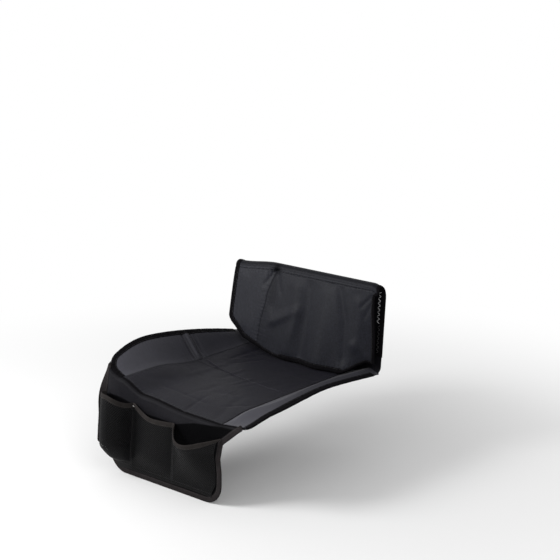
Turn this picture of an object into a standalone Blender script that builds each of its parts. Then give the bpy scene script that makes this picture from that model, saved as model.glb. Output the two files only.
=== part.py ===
"""Sewn protective cloth mat with net pockets, in the shape it takes in use.

A padded seat cloth has a side wing on its left and right, a front flap with three mesh
pockets hangs from its front edge, and a back cloth stands up at its back edge and is
folded forward over itself.

Frame: X across, +X on the side of the gaping pocket; -Y to the front flap; +Z up. The origin
is the middle of the flat underside of the seat centre panel. Metres.
"""
import bmesh
import bpy
import numpy as np

# Cloth thicknesses
SEAT_THICK = 0.0035
FLAP_THICK = 0.0020
BACK_THICK = 0.0024
MESH_THICK = 0.0012
TAPE_THICK = 0.0009
GAP = 0.0003

# Tape widths, each side of the folded edge
TAPE_WIDTH = 0.0120
PIPING_WIDTH = 0.0035
RIM_WIDTH = 0.0105
RING = 0.0130

# Seat cloth in plan
SEAT_FRONT = -0.232
SEAT_BACK = 0.238
SEAM_LEFT = -0.172
SEAM_RIGHT = 0.160
MAT_WIDTH = 0.470
EDGE_LEFT = -0.232
EDGE_RIGHT = EDGE_LEFT + MAT_WIDTH
EDGE_RIGHT_SPREAD = 0.012
CORNER_LEFT = 0.034
CORNER_RIGHT = 0.016

# Heights of the side wings
LEFT_FRONT_RISE = 0.045
LEFT_PEAK_RISE = 0.088
LEFT_BACK_RISE = 0.030
LEFT_PEAK_AT = -0.100
LEFT_FALL_FRONT = 2.2
LEFT_FALL_BACK = 1.5
RIGHT_PEAK_RISE = 0.023
RIGHT_BACK_RISE = 0.012
RIGHT_PEAK_AT = 0.055
RIGHT_CREST = 0.013
SEAM_RISE_BACK = 0.008
SEAM_RISE_FRONT = 0.018
FRONT_DIP = 0.010
FOLD_MARK = 0.0030
FOLD_MARK_AT = 0.036

# Front flap
FLAP_ROLL = 0.009
FLAP_BOTTOM = -0.198
FLAP_EDGE_LEFT = -0.211
FLAP_EDGE_RIGHT = 0.168
FLAP_FOOT_LEFT = -0.184
FLAP_EAR_TIP = -0.048
FLAP_CORNER = 0.048
LEAN_LEFT = 0.022
LEAN_RIGHT = 0.004
CURL_TURN = 1.60
CURL_FROM = -0.146
CURL_SPAN = 0.065
CURL_DROP = 0.105

# Pockets
RIM_LEFT = -0.004
RIM_MIDDLE = -0.030
RIM_RIGHT = -0.036
RIM_SAG = 0.022
POCKET_BOTTOM = -0.176
STAND_RIM = 0.0034
STAND_FOOT = 0.0021
DIVIDER_LEFT = -0.115
DIVIDER_RIGHT = 0.020
DIVIDER_WIDTH = 0.008
BULGE_LEFT = 0.088
BULGE_MIDDLE = 0.014
BULGE_RIGHT = 0.046
POCKET_INSET_LEFT = 0.0190
POCKET_INSET_RIGHT = 0.0140
POCKET_INSET_FOOT = 0.012
CELLS_LEFT = 8
CELLS_MIDDLE = 7
CELLS_RIGHT = 8
CELL_ROWS = 5
CELL_MARGIN = 0.16

# Back cloth, folded forward over itself
BACK_WIDTH = 0.487
BACK_LEFT = -0.237
BACK_BEND = 0.012
REAR_LEAN = 0.014
FOLD_TOP = 0.237
FOLD_DROP = 0.012
FOLD_RADIUS = 0.011
FRONT_FOOT = 0.189
FRONT_FOOT_SIDE = 0.018
HEM_HEIGHT = 0.0050
BACK_CORNER = 0.056
BACK_RISE = 0.030
BACK_RISE_SPAN = 0.085
HEM_LIFT = 0.014
SEAM_VALLEY = 0.005
WAVE = 0.004


def smooth(t):
    """Ease 3t^2 - 2t^3 between 0 and 1, held outside."""
    t = np.clip(t, 0.0, 1.0)
    return t * t * (3.0 - 2.0 * t)


def arc(centre, radius, start, end, count=9):
    """Points of an arc in a plane, angles in degrees."""
    turn = np.radians(np.linspace(start, end, count))
    return np.stack([centre[0] + radius * np.cos(turn), centre[1] + radius * np.sin(turn)], axis=1)


def along(points, fractions):
    """Points at given fractions of a polyline's length."""
    points = np.asarray(points, float)
    steps = np.linalg.norm(np.diff(points, axis=0), axis=1)
    length = np.concatenate(([0.0], np.cumsum(steps)))
    at = np.asarray(fractions) * length[-1]
    return np.stack([np.interp(at, length, points[:, k]) for k in range(2)], axis=1)


def patch(top, bottom, left, right, across, down):
    """Grid between four sides: X = (1-q)T + qB + (1-p)L + pR less the bilinear corner term."""
    p = np.asarray(across)[None, :, None]
    q = np.asarray(down)[:, None, None]
    sides = (1 - q) * top[None] + q * bottom[None] + (1 - p) * left[:, None] + p * right[:, None]
    corners = (1 - q) * ((1 - p) * top[0] + p * top[-1]) + q * ((1 - p) * bottom[0] + p * bottom[-1])
    return sides - corners


def hump(y, at, front, peak, back, power_front, power_back):
    """Height along an edge: a peak with a power-law fall to each end."""
    fore = np.clip((at - y) / (at - SEAT_FRONT), 0.0, None) ** power_front
    aft = np.clip((y - at) / (SEAT_BACK - at), 0.0, None) ** power_back
    return peak - (peak - front) * fore - (peak - back) * aft


def right_edge(y):
    """Plan line of the right edge, a little wider at the back."""
    return EDGE_RIGHT + EDGE_RIGHT_SPREAD * smooth(y / SEAT_BACK)


def seat_height(x, y):
    """Height of the seat cloth's top over its flat middle."""
    lift = SEAM_RISE_BACK + SEAM_RISE_FRONT * smooth((0.02 - y) / 0.15)
    height = lift * smooth((-x - 0.09) / (-SEAM_LEFT - 0.09))
    height = height - FRONT_DIP * smooth((-0.14 - y) / 0.09) * smooth((x + 0.08) / 0.14)
    left = np.clip((SEAM_LEFT - x) / (SEAM_LEFT - EDGE_LEFT), 0.0, 1.15)
    crest = hump(y, LEFT_PEAK_AT, LEFT_FRONT_RISE, LEFT_PEAK_RISE, LEFT_BACK_RISE, LEFT_FALL_FRONT, LEFT_FALL_BACK)
    climb = 0.45 * left + 0.55 * smooth(left)
    height = height + (crest - lift) * climb
    right = np.clip((x - SEAM_RIGHT) / (right_edge(y) - SEAM_RIGHT), 0.0, 1.15)
    fall = smooth((RIGHT_PEAK_AT - y) / 0.22)
    aft = np.clip((y - RIGHT_PEAK_AT) / (SEAT_BACK - RIGHT_PEAK_AT), 0.0, 1.0) ** 1.5
    rim = RIGHT_PEAK_RISE * (1.0 - fall) - (RIGHT_PEAK_RISE - RIGHT_BACK_RISE) * aft
    height = height + (rim + FRONT_DIP * fall) * right
    ridge = 0.25 + 0.45 * smooth((y - SEAT_FRONT) / 0.16)
    crest = np.clip(np.minimum(right / ridge, (1.0 - right) / (1.0 - ridge)), 0.0, 1.0)
    height = height + RIGHT_CREST * smooth((y - SEAT_FRONT) / 0.06) * smooth(crest * 0.85)
    mark = np.exp(-((y - FOLD_MARK_AT) / 0.008) ** 2) - 0.6 * np.exp(-((y - FOLD_MARK_AT - 0.02) / 0.007) ** 2)
    return height + FOLD_MARK * mark * smooth(left * 2.5) * smooth((1.0 - left) * 3.0)


def seat_surface(x, y):
    """Top face of the seat cloth."""
    return np.stack([x, y, SEAT_THICK + seat_height(x, y)], axis=-1)


def front_line(x):
    """Plan line of the seat cloth's front edge, round its two corners."""
    left = np.clip(EDGE_LEFT + CORNER_LEFT - x, 0.0, CORNER_LEFT * 0.97)
    right = np.clip(x - EDGE_RIGHT + CORNER_RIGHT, 0.0, CORNER_RIGHT * 0.97)
    back = CORNER_LEFT - np.sqrt(CORNER_LEFT ** 2 - left ** 2)
    back = back + CORNER_RIGHT - np.sqrt(CORNER_RIGHT ** 2 - right ** 2)
    return SEAT_FRONT + back


def flap_surface(x, z):
    """Front face of the flap: y = edge - roll - lean - curl round the left pocket."""
    top = SEAT_THICK + seat_height(x, front_line(x))
    drop = np.clip(top - z, 0.0, None)
    roll = np.sqrt(np.clip(FLAP_ROLL ** 2 - np.clip(FLAP_ROLL - drop, 0.0, None) ** 2, 0.0, None))
    share = np.clip(0.5 - x / 0.36, 0.0, 1.0)
    lean = (LEAN_RIGHT + (LEAN_LEFT - LEAN_RIGHT) * share) * smooth(drop / 0.20)
    reach = np.clip(CURL_FROM - x, 0.0, None)
    bend = CURL_TURN / CURL_SPAN * smooth(drop / CURL_DROP) * smooth((z + 0.185) / 0.09) + 1e-4
    across = np.minimum(x, CURL_FROM) + reach - np.sin(bend * reach) / bend + np.maximum(x - CURL_FROM, 0.0)
    curl = (1.0 - np.cos(bend * reach)) / bend
    return np.stack([across, front_line(x) - 0.0016 - roll - lean - curl, z], axis=-1)


def flap_left(z):
    """Flat line of the flap's left edge above its rounded foot."""
    return np.interp(z, [-0.150, -0.120, FLAP_EAR_TIP, -0.004], [FLAP_FOOT_LEFT, -0.205, FLAP_EDGE_LEFT, -0.215])


def flap_right(z):
    """Flat line of the flap's right edge above its rounded foot."""
    return np.interp(z, [-0.120, -0.075, FLAP_EAR_TIP, 0.0], [FLAP_EDGE_RIGHT + 0.003, FLAP_EDGE_RIGHT - 0.003,
                                                          FLAP_EDGE_RIGHT + 0.006, 0.228])


def unit(vectors):
    """Vectors scaled to length 1."""
    return vectors / np.linalg.norm(vectors, axis=-1, keepdims=True)


def pocket_surface(column, z):
    """Front face of the mesh wall; column 0..1 left pocket, 1..2 strip, and so on to 5."""
    foot = POCKET_BOTTOM + 0.030
    taper = POCKET_INSET_FOOT * smooth((foot - z) / 0.03)
    left_end = flap_left(z) + POCKET_INSET_LEFT + taper
    right_end = flap_right(z) - POCKET_INSET_RIGHT - 0.002 * smooth((z + 0.065) / 0.02) - taper
    half = DIVIDER_WIDTH / 2
    marks = [left_end, DIVIDER_LEFT - half + 0 * z, DIVIDER_LEFT + half + 0 * z,
             DIVIDER_RIGHT - half + 0 * z, DIVIDER_RIGHT + half + 0 * z, right_end]
    block = np.clip(np.floor(column), 0, 4).astype(int)
    start = np.choose(block, marks[:5])
    end = np.choose(block, marks[1:])
    t = column - block
    x = start + (end - start) * t
    stand = STAND_RIM + (STAND_FOOT - STAND_RIM) * smooth((-0.06 - z) / 0.03)
    base_a = flap_surface(start, z)
    base_b = flap_surface(end, z)
    slope = unit(flap_surface(start + 0.0005, z) - flap_surface(start - 0.0005, z))
    rise = np.clip((z - POCKET_BOTTOM - 0.012) / 0.055, 0.0, 1.0)
    fill = np.sqrt(1.0 - (1.0 - rise) ** 2.2)
    ax = base_a[..., 0] + (stand + 0.0012) * slope[..., 1]
    ay = base_a[..., 1] - (stand + 0.0012) * slope[..., 0]
    bx = base_b[..., 0]
    by = base_b[..., 1] - stand
    x1 = ax + (bx - ax) / 3 * (1 - fill) - fill * 0.003
    x2 = ax + (bx - ax) * 2 / 3 * (1 - fill) + fill * (bx - ax + 0.002)
    y1 = ay + (by - ay) / 3 * (1 - fill) - fill * BULGE_LEFT * 0.50
    y2 = (1 - fill) * (ay + (by - ay) * 2 / 3) + fill * (by - BULGE_LEFT)
    bez = [(1 - t) ** 3, 3 * t * (1 - t) ** 2, 3 * t * t * (1 - t), t ** 3]
    round_x = bez[0] * ax + bez[1] * x1 + bez[2] * x2 + bez[3] * bx
    round_y = bez[0] * ay + bez[1] * y1 + bez[2] * y2 + bez[3] * by
    plain = flap_surface(x, z)[..., 1] - stand
    soft = BULGE_MIDDLE * smooth((z - POCKET_BOTTOM) / 0.05) * np.sin(np.pi * t) ** 0.7
    gape = BULGE_RIGHT * smooth((z - POCKET_BOTTOM) / 0.13) * np.sin(np.pi * t) ** 0.8
    extra = np.where(block == 2, soft, 0.0) + np.where(block == 4, gape, 0.0)
    px = np.where(block == 0, round_x, x)
    py = np.where(block == 0, round_y, plain - extra)
    return np.stack([px, py, z], axis=-1)


def rim_height(column):
    """Height of the pockets' top edge along the wall."""
    block = np.clip(np.floor(column), 0, 4).astype(int)
    t = column - block
    left = RIM_LEFT + 0.010 * np.sin(np.pi * t) + (RIM_MIDDLE + 0.010 - RIM_LEFT) * smooth((t - 0.55) / 0.45)
    middle = RIM_MIDDLE + 0.010 + (RIM_RIGHT - RIM_MIDDLE - 0.010) * smooth(t / 0.6)
    right = RIM_RIGHT - RIM_SAG * np.sin(np.pi * t ** 0.9) ** 0.9 + 0.002 * t
    flat_a = RIM_MIDDLE + 0.010 + 0 * t
    flat_b = RIM_RIGHT + 0 * t
    return np.choose(block, [left, flat_a, middle, flat_b, right])


# Back cloth lengths: the bend, the rear layer, the fold and the front layer
LENGTH_BEND = BACK_BEND * np.pi / 2
LENGTH_REAR = 0.205
LENGTH_FOLD = FOLD_RADIUS * np.pi
LENGTH_FRONT = 0.224
LENGTH_BACK = LENGTH_BEND + LENGTH_REAR + LENGTH_FOLD + LENGTH_FRONT


def back_surface(x, s):
    """Face of the back cloth that starts as the seat's top; s runs from the seat to the hem."""
    seat = SEAT_THICK + seat_height(x, SEAT_BACK + 0 * x)
    foot = SEAT_BACK + GAP
    top = FOLD_TOP - FOLD_DROP * smooth((-x - 0.10) / 0.13) - FOLD_RADIUS
    a = np.clip(s / LENGTH_BEND, 0, 1) * np.pi / 2
    bend_y = foot + BACK_BEND * np.sin(a)
    bend_z = seat + BACK_BEND * (1 - np.cos(a))
    b = np.clip((s - LENGTH_BEND) / LENGTH_REAR, 0, 1)
    rear_y = foot + BACK_BEND + REAR_LEAN * b
    rear_z = seat + BACK_BEND + (top - seat - BACK_BEND) * b
    c = np.clip((s - LENGTH_BEND - LENGTH_REAR) / LENGTH_FOLD, 0, 1) * np.pi
    crown_y = foot + BACK_BEND + REAR_LEAN - FOLD_RADIUS * (1 - np.cos(c))
    crown_z = top + FOLD_RADIUS * np.sin(c)
    d = np.clip((s - LENGTH_BEND - LENGTH_REAR - LENGTH_FOLD) / LENGTH_FRONT, 0, 1)
    near = foot + BACK_BEND + REAR_LEAN - 2 * FOLD_RADIUS
    side = FRONT_FOOT_SIDE * (smooth((-x - 0.12) / 0.11) + 2.4 * smooth((x - 0.15) / 0.10))
    hang_y = near + (FRONT_FOOT + side - near) * d ** 0.85
    hang_z = top - (top - seat_height(x, 0.2 + 0 * x) - SEAT_THICK - HEM_HEIGHT) * d
    line = -0.100 - 0.022 * d
    valley = SEAM_VALLEY * np.exp(-((x - line) / 0.016) ** 2) * (0.35 + 0.65 * np.exp(-(d / 0.22) ** 2))
    waves = WAVE * np.sin((x - 0.02) * 2 * np.pi / 0.105 + 1.5 * d) * smooth((x + 0.06) / 0.1)
    belly = 0.006 * np.sin(np.pi * np.clip((x + 0.1) / 0.3, 0, 1)) * d
    hang_y = hang_y + smooth(d / 0.15) * (valley + waves * (0.4 + 0.6 * d) - belly)
    hang_y = hang_y + valley * (1 - smooth(d / 0.15)) * smooth(d / 0.05)
    y = np.where(s < LENGTH_BEND, bend_y, rear_y)
    z = np.where(s < LENGTH_BEND, bend_z, rear_z)
    y = np.where(s > LENGTH_BEND + LENGTH_REAR, crown_y, y)
    z = np.where(s > LENGTH_BEND + LENGTH_REAR, crown_z, z)
    y = np.where(s > LENGTH_BEND + LENGTH_REAR + LENGTH_FOLD, hang_y, y)
    z = np.where(s > LENGTH_BEND + LENGTH_REAR + LENGTH_FOLD, hang_z, z)
    return np.stack([x, y, z], axis=-1)


def normals(surface, flat, side):
    """Unit normals of a surface by central differences of its two coordinates."""
    step = 0.0008
    u = flat[..., 0]
    v = flat[..., 1]
    du = surface(u + step, v) - surface(u - step, v)
    dv = surface(u, v + step) - surface(u, v - step)
    normal = side * np.cross(du, dv)
    return normal / np.linalg.norm(normal, axis=-1, keepdims=True)


def material(name, colour, roughness):
    """Plain Principled material of one node."""
    made = bpy.data.materials.new(name)
    made.use_nodes = True
    shader = made.node_tree.nodes["Principled BSDF"]
    shader.inputs["Base Color"].default_value = (*colour, 1.0)
    shader.inputs["Roughness"].default_value = roughness
    return made


def solid(name, points, faces, colour, roughness=0.8):
    """One closed object from points and faces, wound outward."""
    mesh = bpy.data.meshes.new(name)
    mesh.from_pydata(np.asarray(points, float).tolist(), [], faces)
    work = bmesh.new()
    work.from_mesh(mesh)
    bmesh.ops.recalc_face_normals(work, faces=work.faces)
    work.to_mesh(mesh)
    work.free()
    mesh.materials.append(material(name + "_cloth", colour, roughness))
    made = bpy.data.objects.new(name, mesh)
    bpy.context.scene.collection.objects.link(made)
    return made


def leaning(i, j, rows, columns):
    """True where a cell's diagonal runs from its first corner to the opposite one."""
    return (i < rows / 2) == (j < columns / 2)


def sheet(name, outer, inner, colour):
    """Closed sheet between two grids of the same size."""
    rows, columns = outer.shape[0] - 1, outer.shape[1] - 1
    number = np.arange((rows + 1) * (columns + 1)).reshape(rows + 1, columns + 1)
    back = number + number.size
    faces = []
    for i in range(rows):
        for j in range(columns):
            a, b, c, d = number[i, j], number[i, j + 1], number[i + 1, j + 1], number[i + 1, j]
            e, f, g, h = back[i, j], back[i, j + 1], back[i + 1, j + 1], back[i + 1, j]
            if leaning(i, j, rows, columns):
                faces += [(a, b, c), (a, c, d), (e, g, f), (e, h, g)]
            else:
                faces += [(a, b, d), (b, c, d), (e, h, f), (f, h, g)]
    ring = list(number[0, :]) + list(number[1:, -1]) + list(number[-1, -2::-1]) + list(number[-2:0:-1, 0])
    turn = list(back[0, :]) + list(back[1:, -1]) + list(back[-1, -2::-1]) + list(back[-2:0:-1, 0])
    for k in range(len(ring)):
        n = (k + 1) % len(ring)
        faces += [(ring[k], turn[k], turn[n]), (ring[k], turn[n], ring[n])]
    faces = [tuple(int(v) for v in face) for face in faces]
    points = np.concatenate([outer.reshape(-1, 3), inner.reshape(-1, 3)])
    return solid(name, points, faces, colour)


def cloth(name, flat, surface, side, thickness, colour):
    """Sheet of one thickness behind a surface; returns its two grids and normals."""
    outer = surface(flat[..., 0], flat[..., 1])
    normal = normals(surface, flat, side)
    inner = outer - thickness * normal
    sheet(name, outer, inner, colour)
    return outer, inner, normal


def tape(name, grids, edge, inward, width, colour, least=0.80):
    """Folded tape over a sheet's edge: a U section of eight corners swept along the edge."""
    outer, inner, normal = grids
    rows, columns = outer.shape[0] - 1, outer.shape[1] - 1
    e = tuple(np.array(edge).T)
    n = tuple(np.array(inward).T)
    far = GAP + TAPE_THICK
    front, rear, lift = outer[e], inner[e], normal[e]
    in_front = outer[n] - front
    in_rear = inner[n] - rear
    share = np.clip(width / np.linalg.norm(in_front, axis=1), least, 0.97)[:, None]
    lift_in = lift + share * (normal[n] - lift)
    m = unit(in_front)
    mr = unit(in_rear)
    section = [front + share * in_front + far * lift_in, front - far * m + far * lift,
               rear - far * mr - far * lift, rear + share * in_rear - far * lift_in,
               rear + share * in_rear - GAP * lift_in, rear - GAP * mr - GAP * lift,
               front - GAP * m + GAP * lift, front + share * in_front + GAP * lift_in]
    points = np.stack(section, axis=1).reshape(-1, 3)
    faces = []
    for k in range(len(edge) - 1):
        (i0, j0), (i1, j1) = edge[k], edge[k + 1]
        cell = (min(i0, i1, inward[k][0], inward[k + 1][0]), min(j0, j1, inward[k][1], inward[k + 1][1]))
        cell = (min(cell[0], rows - 1), min(cell[1], columns - 1))
        first = (i0 - cell[0]) == (j0 - cell[1])
        same = first if leaning(cell[0], cell[1], rows, columns) else not first
        onward = (j0 == j1 == columns and i1 > i0) or (j0 == j1 == 0 and i1 < i0)
        onward = onward or (i0 == i1 == 0 and j1 > j0) or (i0 == i1 == rows and j1 < j0)
        for s in range(8):
            t = (s + 1) % 8
            a, b, c, d = 8 * k + s, 8 * k + t, 8 * k + 8 + t, 8 * k + 8 + s
            through_a = (not same, onward, same, True, not same, not onward, same, True)[s]
            faces += [(a, b, c), (a, c, d)] if through_a else [(a, b, d), (b, c, d)]
    last = 8 * (len(edge) - 1)
    for start, turn in ((0, 1), (last, -1)):
        for quad in ((0, 1, 6, 7), (1, 2, 5, 6), (2, 3, 4, 5)):
            ring = [start + v for v in quad]
            faces.append(tuple(ring[::turn]))
    return solid(name, points, faces, colour)


def strip_ends(rows, side_columns):
    """Grid places along a panel's outer side and its front, for the tape of a seat wing."""
    edge = [(i, side_columns) for i in range(1, rows)]
    inward = [(i, side_columns - 1) for i in range(1, rows)]
    return edge, inward


def build_seat():
    """Seat centre panel, two side panels, their edge tapes and the front piping."""
    depth = SEAT_BACK - SEAT_FRONT
    marks = np.array([0.19, 0.15, 0.11, 0.078, 0.056, 0.046, 0.036, 0.026, 0.008, -0.03, -0.07, -0.11, -0.15, -0.19])
    down = np.concatenate(([0.0], (SEAT_BACK - marks) / depth, [1 - RING / depth, 1.0]))
    last = len(down) - 1

    def straight(x):
        """Side of a seat panel along one x."""
        return np.stack([0 * down + x, SEAT_BACK - down * depth], axis=1)

    across = np.linspace(0, 1, 13)
    left_x, right_x = SEAM_LEFT + GAP / 2, SEAM_RIGHT - GAP / 2
    back_side = np.stack([left_x + across * (right_x - left_x), 0 * across + SEAT_BACK], axis=1)
    front_side = back_side + [0.0, -depth]
    centre = patch(back_side, front_side, straight(left_x), straight(right_x), across, down)
    centre_grids = cloth("seat_centre_panel", centre, seat_surface, 1, SEAT_THICK, FIELD)

    shelf = np.array([0.0, 0.16, 0.34, 0.52, 0.70, 0.85, 1.0])
    inner = SEAM_LEFT - GAP / 2
    middle = (EDGE_LEFT + CORNER_LEFT, SEAT_FRONT + CORNER_LEFT)
    side = along(np.concatenate([[[EDGE_LEFT, SEAT_BACK]], arc(middle, CORNER_LEFT, 180, 225)]), down)
    front_side = along(np.concatenate([[[inner, SEAT_FRONT]], arc(middle, CORNER_LEFT, 270, 225)]), shelf)
    back_side = along([[inner, SEAT_BACK], [EDGE_LEFT, SEAT_BACK]], shelf)
    left = patch(back_side, front_side, straight(inner), side, shelf, down)
    left_grids = cloth("seat_side_panel_left", left, seat_surface, 1, SEAT_THICK, WING)
    end = len(shelf) - 1
    edge, inward = strip_ends(last, end)
    edge += [(last, j) for j in range(end, 0, -1)]
    inward += [(last - 1, end - 1)] + [(last - 1, j) for j in range(end - 1, 0, -1)]
    tape("seat_edge_tape_left", left_grids, edge, inward, TAPE_WIDTH, TAPE)

    shelf = np.array([0.0, 0.18, 0.36, 0.54, 0.70, 0.85, 1.0])
    inner = SEAM_RIGHT + GAP / 2
    side_y = SEAT_BACK - np.linspace(0, 1, 30) * (depth - CORNER_RIGHT)
    middle = (EDGE_RIGHT - CORNER_RIGHT, SEAT_FRONT + CORNER_RIGHT)
    line = np.concatenate([np.stack([right_edge(side_y), side_y], axis=1), arc(middle, CORNER_RIGHT, 0, -45)[1:]])
    side = along(line, down)
    front_side = along(np.concatenate([[[inner, SEAT_FRONT]], arc(middle, CORNER_RIGHT, -90, -45)]), shelf)
    back_side = along([[inner, SEAT_BACK], [right_edge(SEAT_BACK), SEAT_BACK]], shelf)
    right = patch(back_side, front_side, straight(inner), side, shelf, down)
    right_grids = cloth("seat_side_panel_right", right, seat_surface, 1, SEAT_THICK, WING)
    edge, inward = strip_ends(last, end)
    tape("seat_edge_tape_right", right_grids, edge + [(last, end)], inward + [(last - 1, end - 1)], TAPE_WIDTH, TAPE)

    edge = [(last, j) for j in range(len(across))]
    inward = [(last - 1, j) for j in range(len(across))]
    tape("front_seam_piping", centre_grids, edge, inward, PIPING_WIDTH, TAPE, 0.1)


def loop_round(rows, columns, start):
    """Grid places down the left side, along the bottom and up the right side, with their inner neighbours."""
    edge = [(i, 0) for i in range(start, rows)] + [(rows, j) for j in range(columns + 1)]
    edge += [(i, columns) for i in range(rows - 1, start - 1, -1)]
    inward = [(i, 1) for i in range(start, rows)] + [(rows - 1, 1)] + [(rows - 1, j) for j in range(1, columns)]
    inward += [(rows - 1, columns - 1)] + [(i, columns - 1) for i in range(rows - 1, start - 1, -1)]
    return edge, inward


def build_flap():
    """Front flap and the tape round its sides and bottom."""
    columns = np.concatenate([[0.0, 0.030, 0.058, 0.088, 0.120, 0.155], np.linspace(0.21, 0.90, 12), [0.968, 1.0]])
    levels = np.array([0.0, 0.012, 0.030, 0.060, 0.10, 0.145, 0.19, 0.24, 0.29, 0.35, 0.42, 0.52, 0.64, 0.76, 0.87,
                       0.943, 1.0])
    top_x = np.linspace(EDGE_LEFT + 0.0055, EDGE_RIGHT - 0.0035, 80)
    top_line = np.stack([top_x, SEAT_THICK + seat_height(top_x, front_line(top_x)) - 0.0002], axis=1)
    c_left = (FLAP_FOOT_LEFT + FLAP_CORNER, FLAP_BOTTOM + FLAP_CORNER)
    c_right = (FLAP_EDGE_RIGHT + 0.003 - FLAP_CORNER, FLAP_BOTTOM + FLAP_CORNER)
    side_z = np.array([-0.004, FLAP_EAR_TIP, -0.085, -0.120])
    left_line = np.concatenate([[top_line[0]], np.stack([flap_left(side_z), side_z], axis=1),
                                arc(c_left, FLAP_CORNER, 180, 225)])
    right_line = np.concatenate([[top_line[-1]], np.stack([flap_right(side_z), side_z], axis=1)[1:],
                                 arc(c_right, FLAP_CORNER, 0, -45)])
    bottom_line = np.concatenate([arc(c_left, FLAP_CORNER, 225, 270), arc(c_right, FLAP_CORNER, -90, -45)])
    flat = patch(along(top_line, columns), along(bottom_line, columns), along(left_line, levels),
                 along(right_line, levels), columns, levels)
    grids = cloth("front_flap_panel", flat, flap_surface, 1, FLAP_THICK, FIELD)
    edge, inward = loop_round(len(levels) - 1, len(columns) - 1, 2)
    tape("front_flap_edge_tape", grids, edge, inward, TAPE_WIDTH, TAPE)


def mitred(grid):
    """Node normals of a grid, lengthened so that an offset keeps its distance from both faces."""
    face = unit(np.cross(grid[1:, 1:] - grid[:-1, :-1], grid[:-1, 1:] - grid[1:, :-1]))
    pad = np.pad(face, ((1, 1), (1, 1), (0, 0)), mode="edge")
    around = np.stack([pad[:-1, :-1], pad[:-1, 1:], pad[1:, :-1], pad[1:, 1:]])
    middle = unit(around.sum(axis=0))
    least = (around * middle).sum(axis=-1).min(axis=0)
    return middle / np.clip(least, 0.55, 1.0)[..., None]


def gap_ring(front, back, names, count, extra):
    """Faces of a cell round a diamond gap, with the gap's eight new points."""
    points, faces, rings = [], [], []
    for corners, base in ((front, 0), (back, count)):
        middle = sum(corners) / 4
        for k in range(4):
            half = (corners[k] + corners[(k + 1) % 4]) / 2
            points.append((half + (middle - half) * CELL_MARGIN * 2)[None])
        hole = [extra + len(rings) * 4 + k for k in range(4)]
        shifted = [base + v for v in names]
        for k in range(4):
            faces.append((shifted[k], shifted[(k + 1) % 4], hole[k])[::1 if base == 0 else -1])
            faces.append((shifted[k], hole[k], hole[k - 1])[::1 if base == 0 else -1])
        rings.append(hole)
    for k in range(4):
        n = (k + 1) % 4
        faces.append((rings[0][k], rings[0][n], rings[1][n]))
        faces.append((rings[0][k], rings[1][n], rings[1][k]))
    return points, faces


def build_pockets():
    """Mesh pocket wall, one net with a diamond gap in every open cell, and its rim tape."""
    open_spans = [(0.05, 1.0, CELLS_LEFT), (2.0, 3.0, CELLS_MIDDLE), (4.0, 4.95, CELLS_RIGHT)]
    places = np.concatenate([np.linspace(low, high, cells + 1) for low, high, cells in open_spans] + [[0.0, 5.0]])
    places = np.sort(places)
    middles = (places[1:] + places[:-1]) / 2
    is_open = [any(low < m < high for low, high, _ in open_spans) for m in middles]
    falls = np.concatenate(([0.0, 0.068], np.linspace(0.068, 0.93, CELL_ROWS + 1)[1:], [1.0]))
    column, fall = np.meshgrid(np.minimum(places, 5.0 - 1e-9), falls)
    rim = rim_height(column)
    front = pocket_surface(column, rim + (POCKET_BOTTOM - rim) * fall)
    turn = mitred(front)
    back = front - MESH_THICK * turn
    rows, columns = front.shape[0] - 1, front.shape[1] - 1
    count = column.size
    number = np.arange(count).reshape(rows + 1, columns + 1)
    near, far = front.reshape(-1, 3), back.reshape(-1, 3)
    points = [near, far]
    faces = []
    extra = 2 * count
    for i in range(rows):
        for j in range(columns):
            a, b, c, d = (int(v) for v in (number[i, j], number[i, j + 1], number[i + 1, j + 1], number[i + 1, j]))
            if 1 <= i < rows - 1 and is_open[j]:
                corners = [a, b, c, d]
                added, around = gap_ring([near[v] for v in corners], [far[v] for v in corners], corners, count, extra)
                points += added
                faces += around
                extra += 8
            elif leaning(i, j, rows, columns):
                faces += [(a, b, c), (a, c, d), (a + count, c + count, b + count), (a + count, d + count, c + count)]
            else:
                faces += [(a, b, d), (b, c, d), (a + count, d + count, b + count), (b + count, d + count, c + count)]
    ring = list(number[0, :]) + list(number[1:, -1]) + list(number[-1, -2::-1]) + list(number[-2:0:-1, 0])
    for k in range(len(ring)):
        a, b = int(ring[k]), int(ring[(k + 1) % len(ring)])
        faces += [(a, a + count, b + count), (a, b + count, b)]
    solid("pocket_mesh", np.concatenate(points), faces, NET)
    edge = [(0, j) for j in range(columns + 1)]
    inward = [(1, j) for j in range(columns + 1)]
    tape("pocket_rim_tape", (front, back, turn), edge, inward, RIM_WIDTH, RIM)


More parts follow.
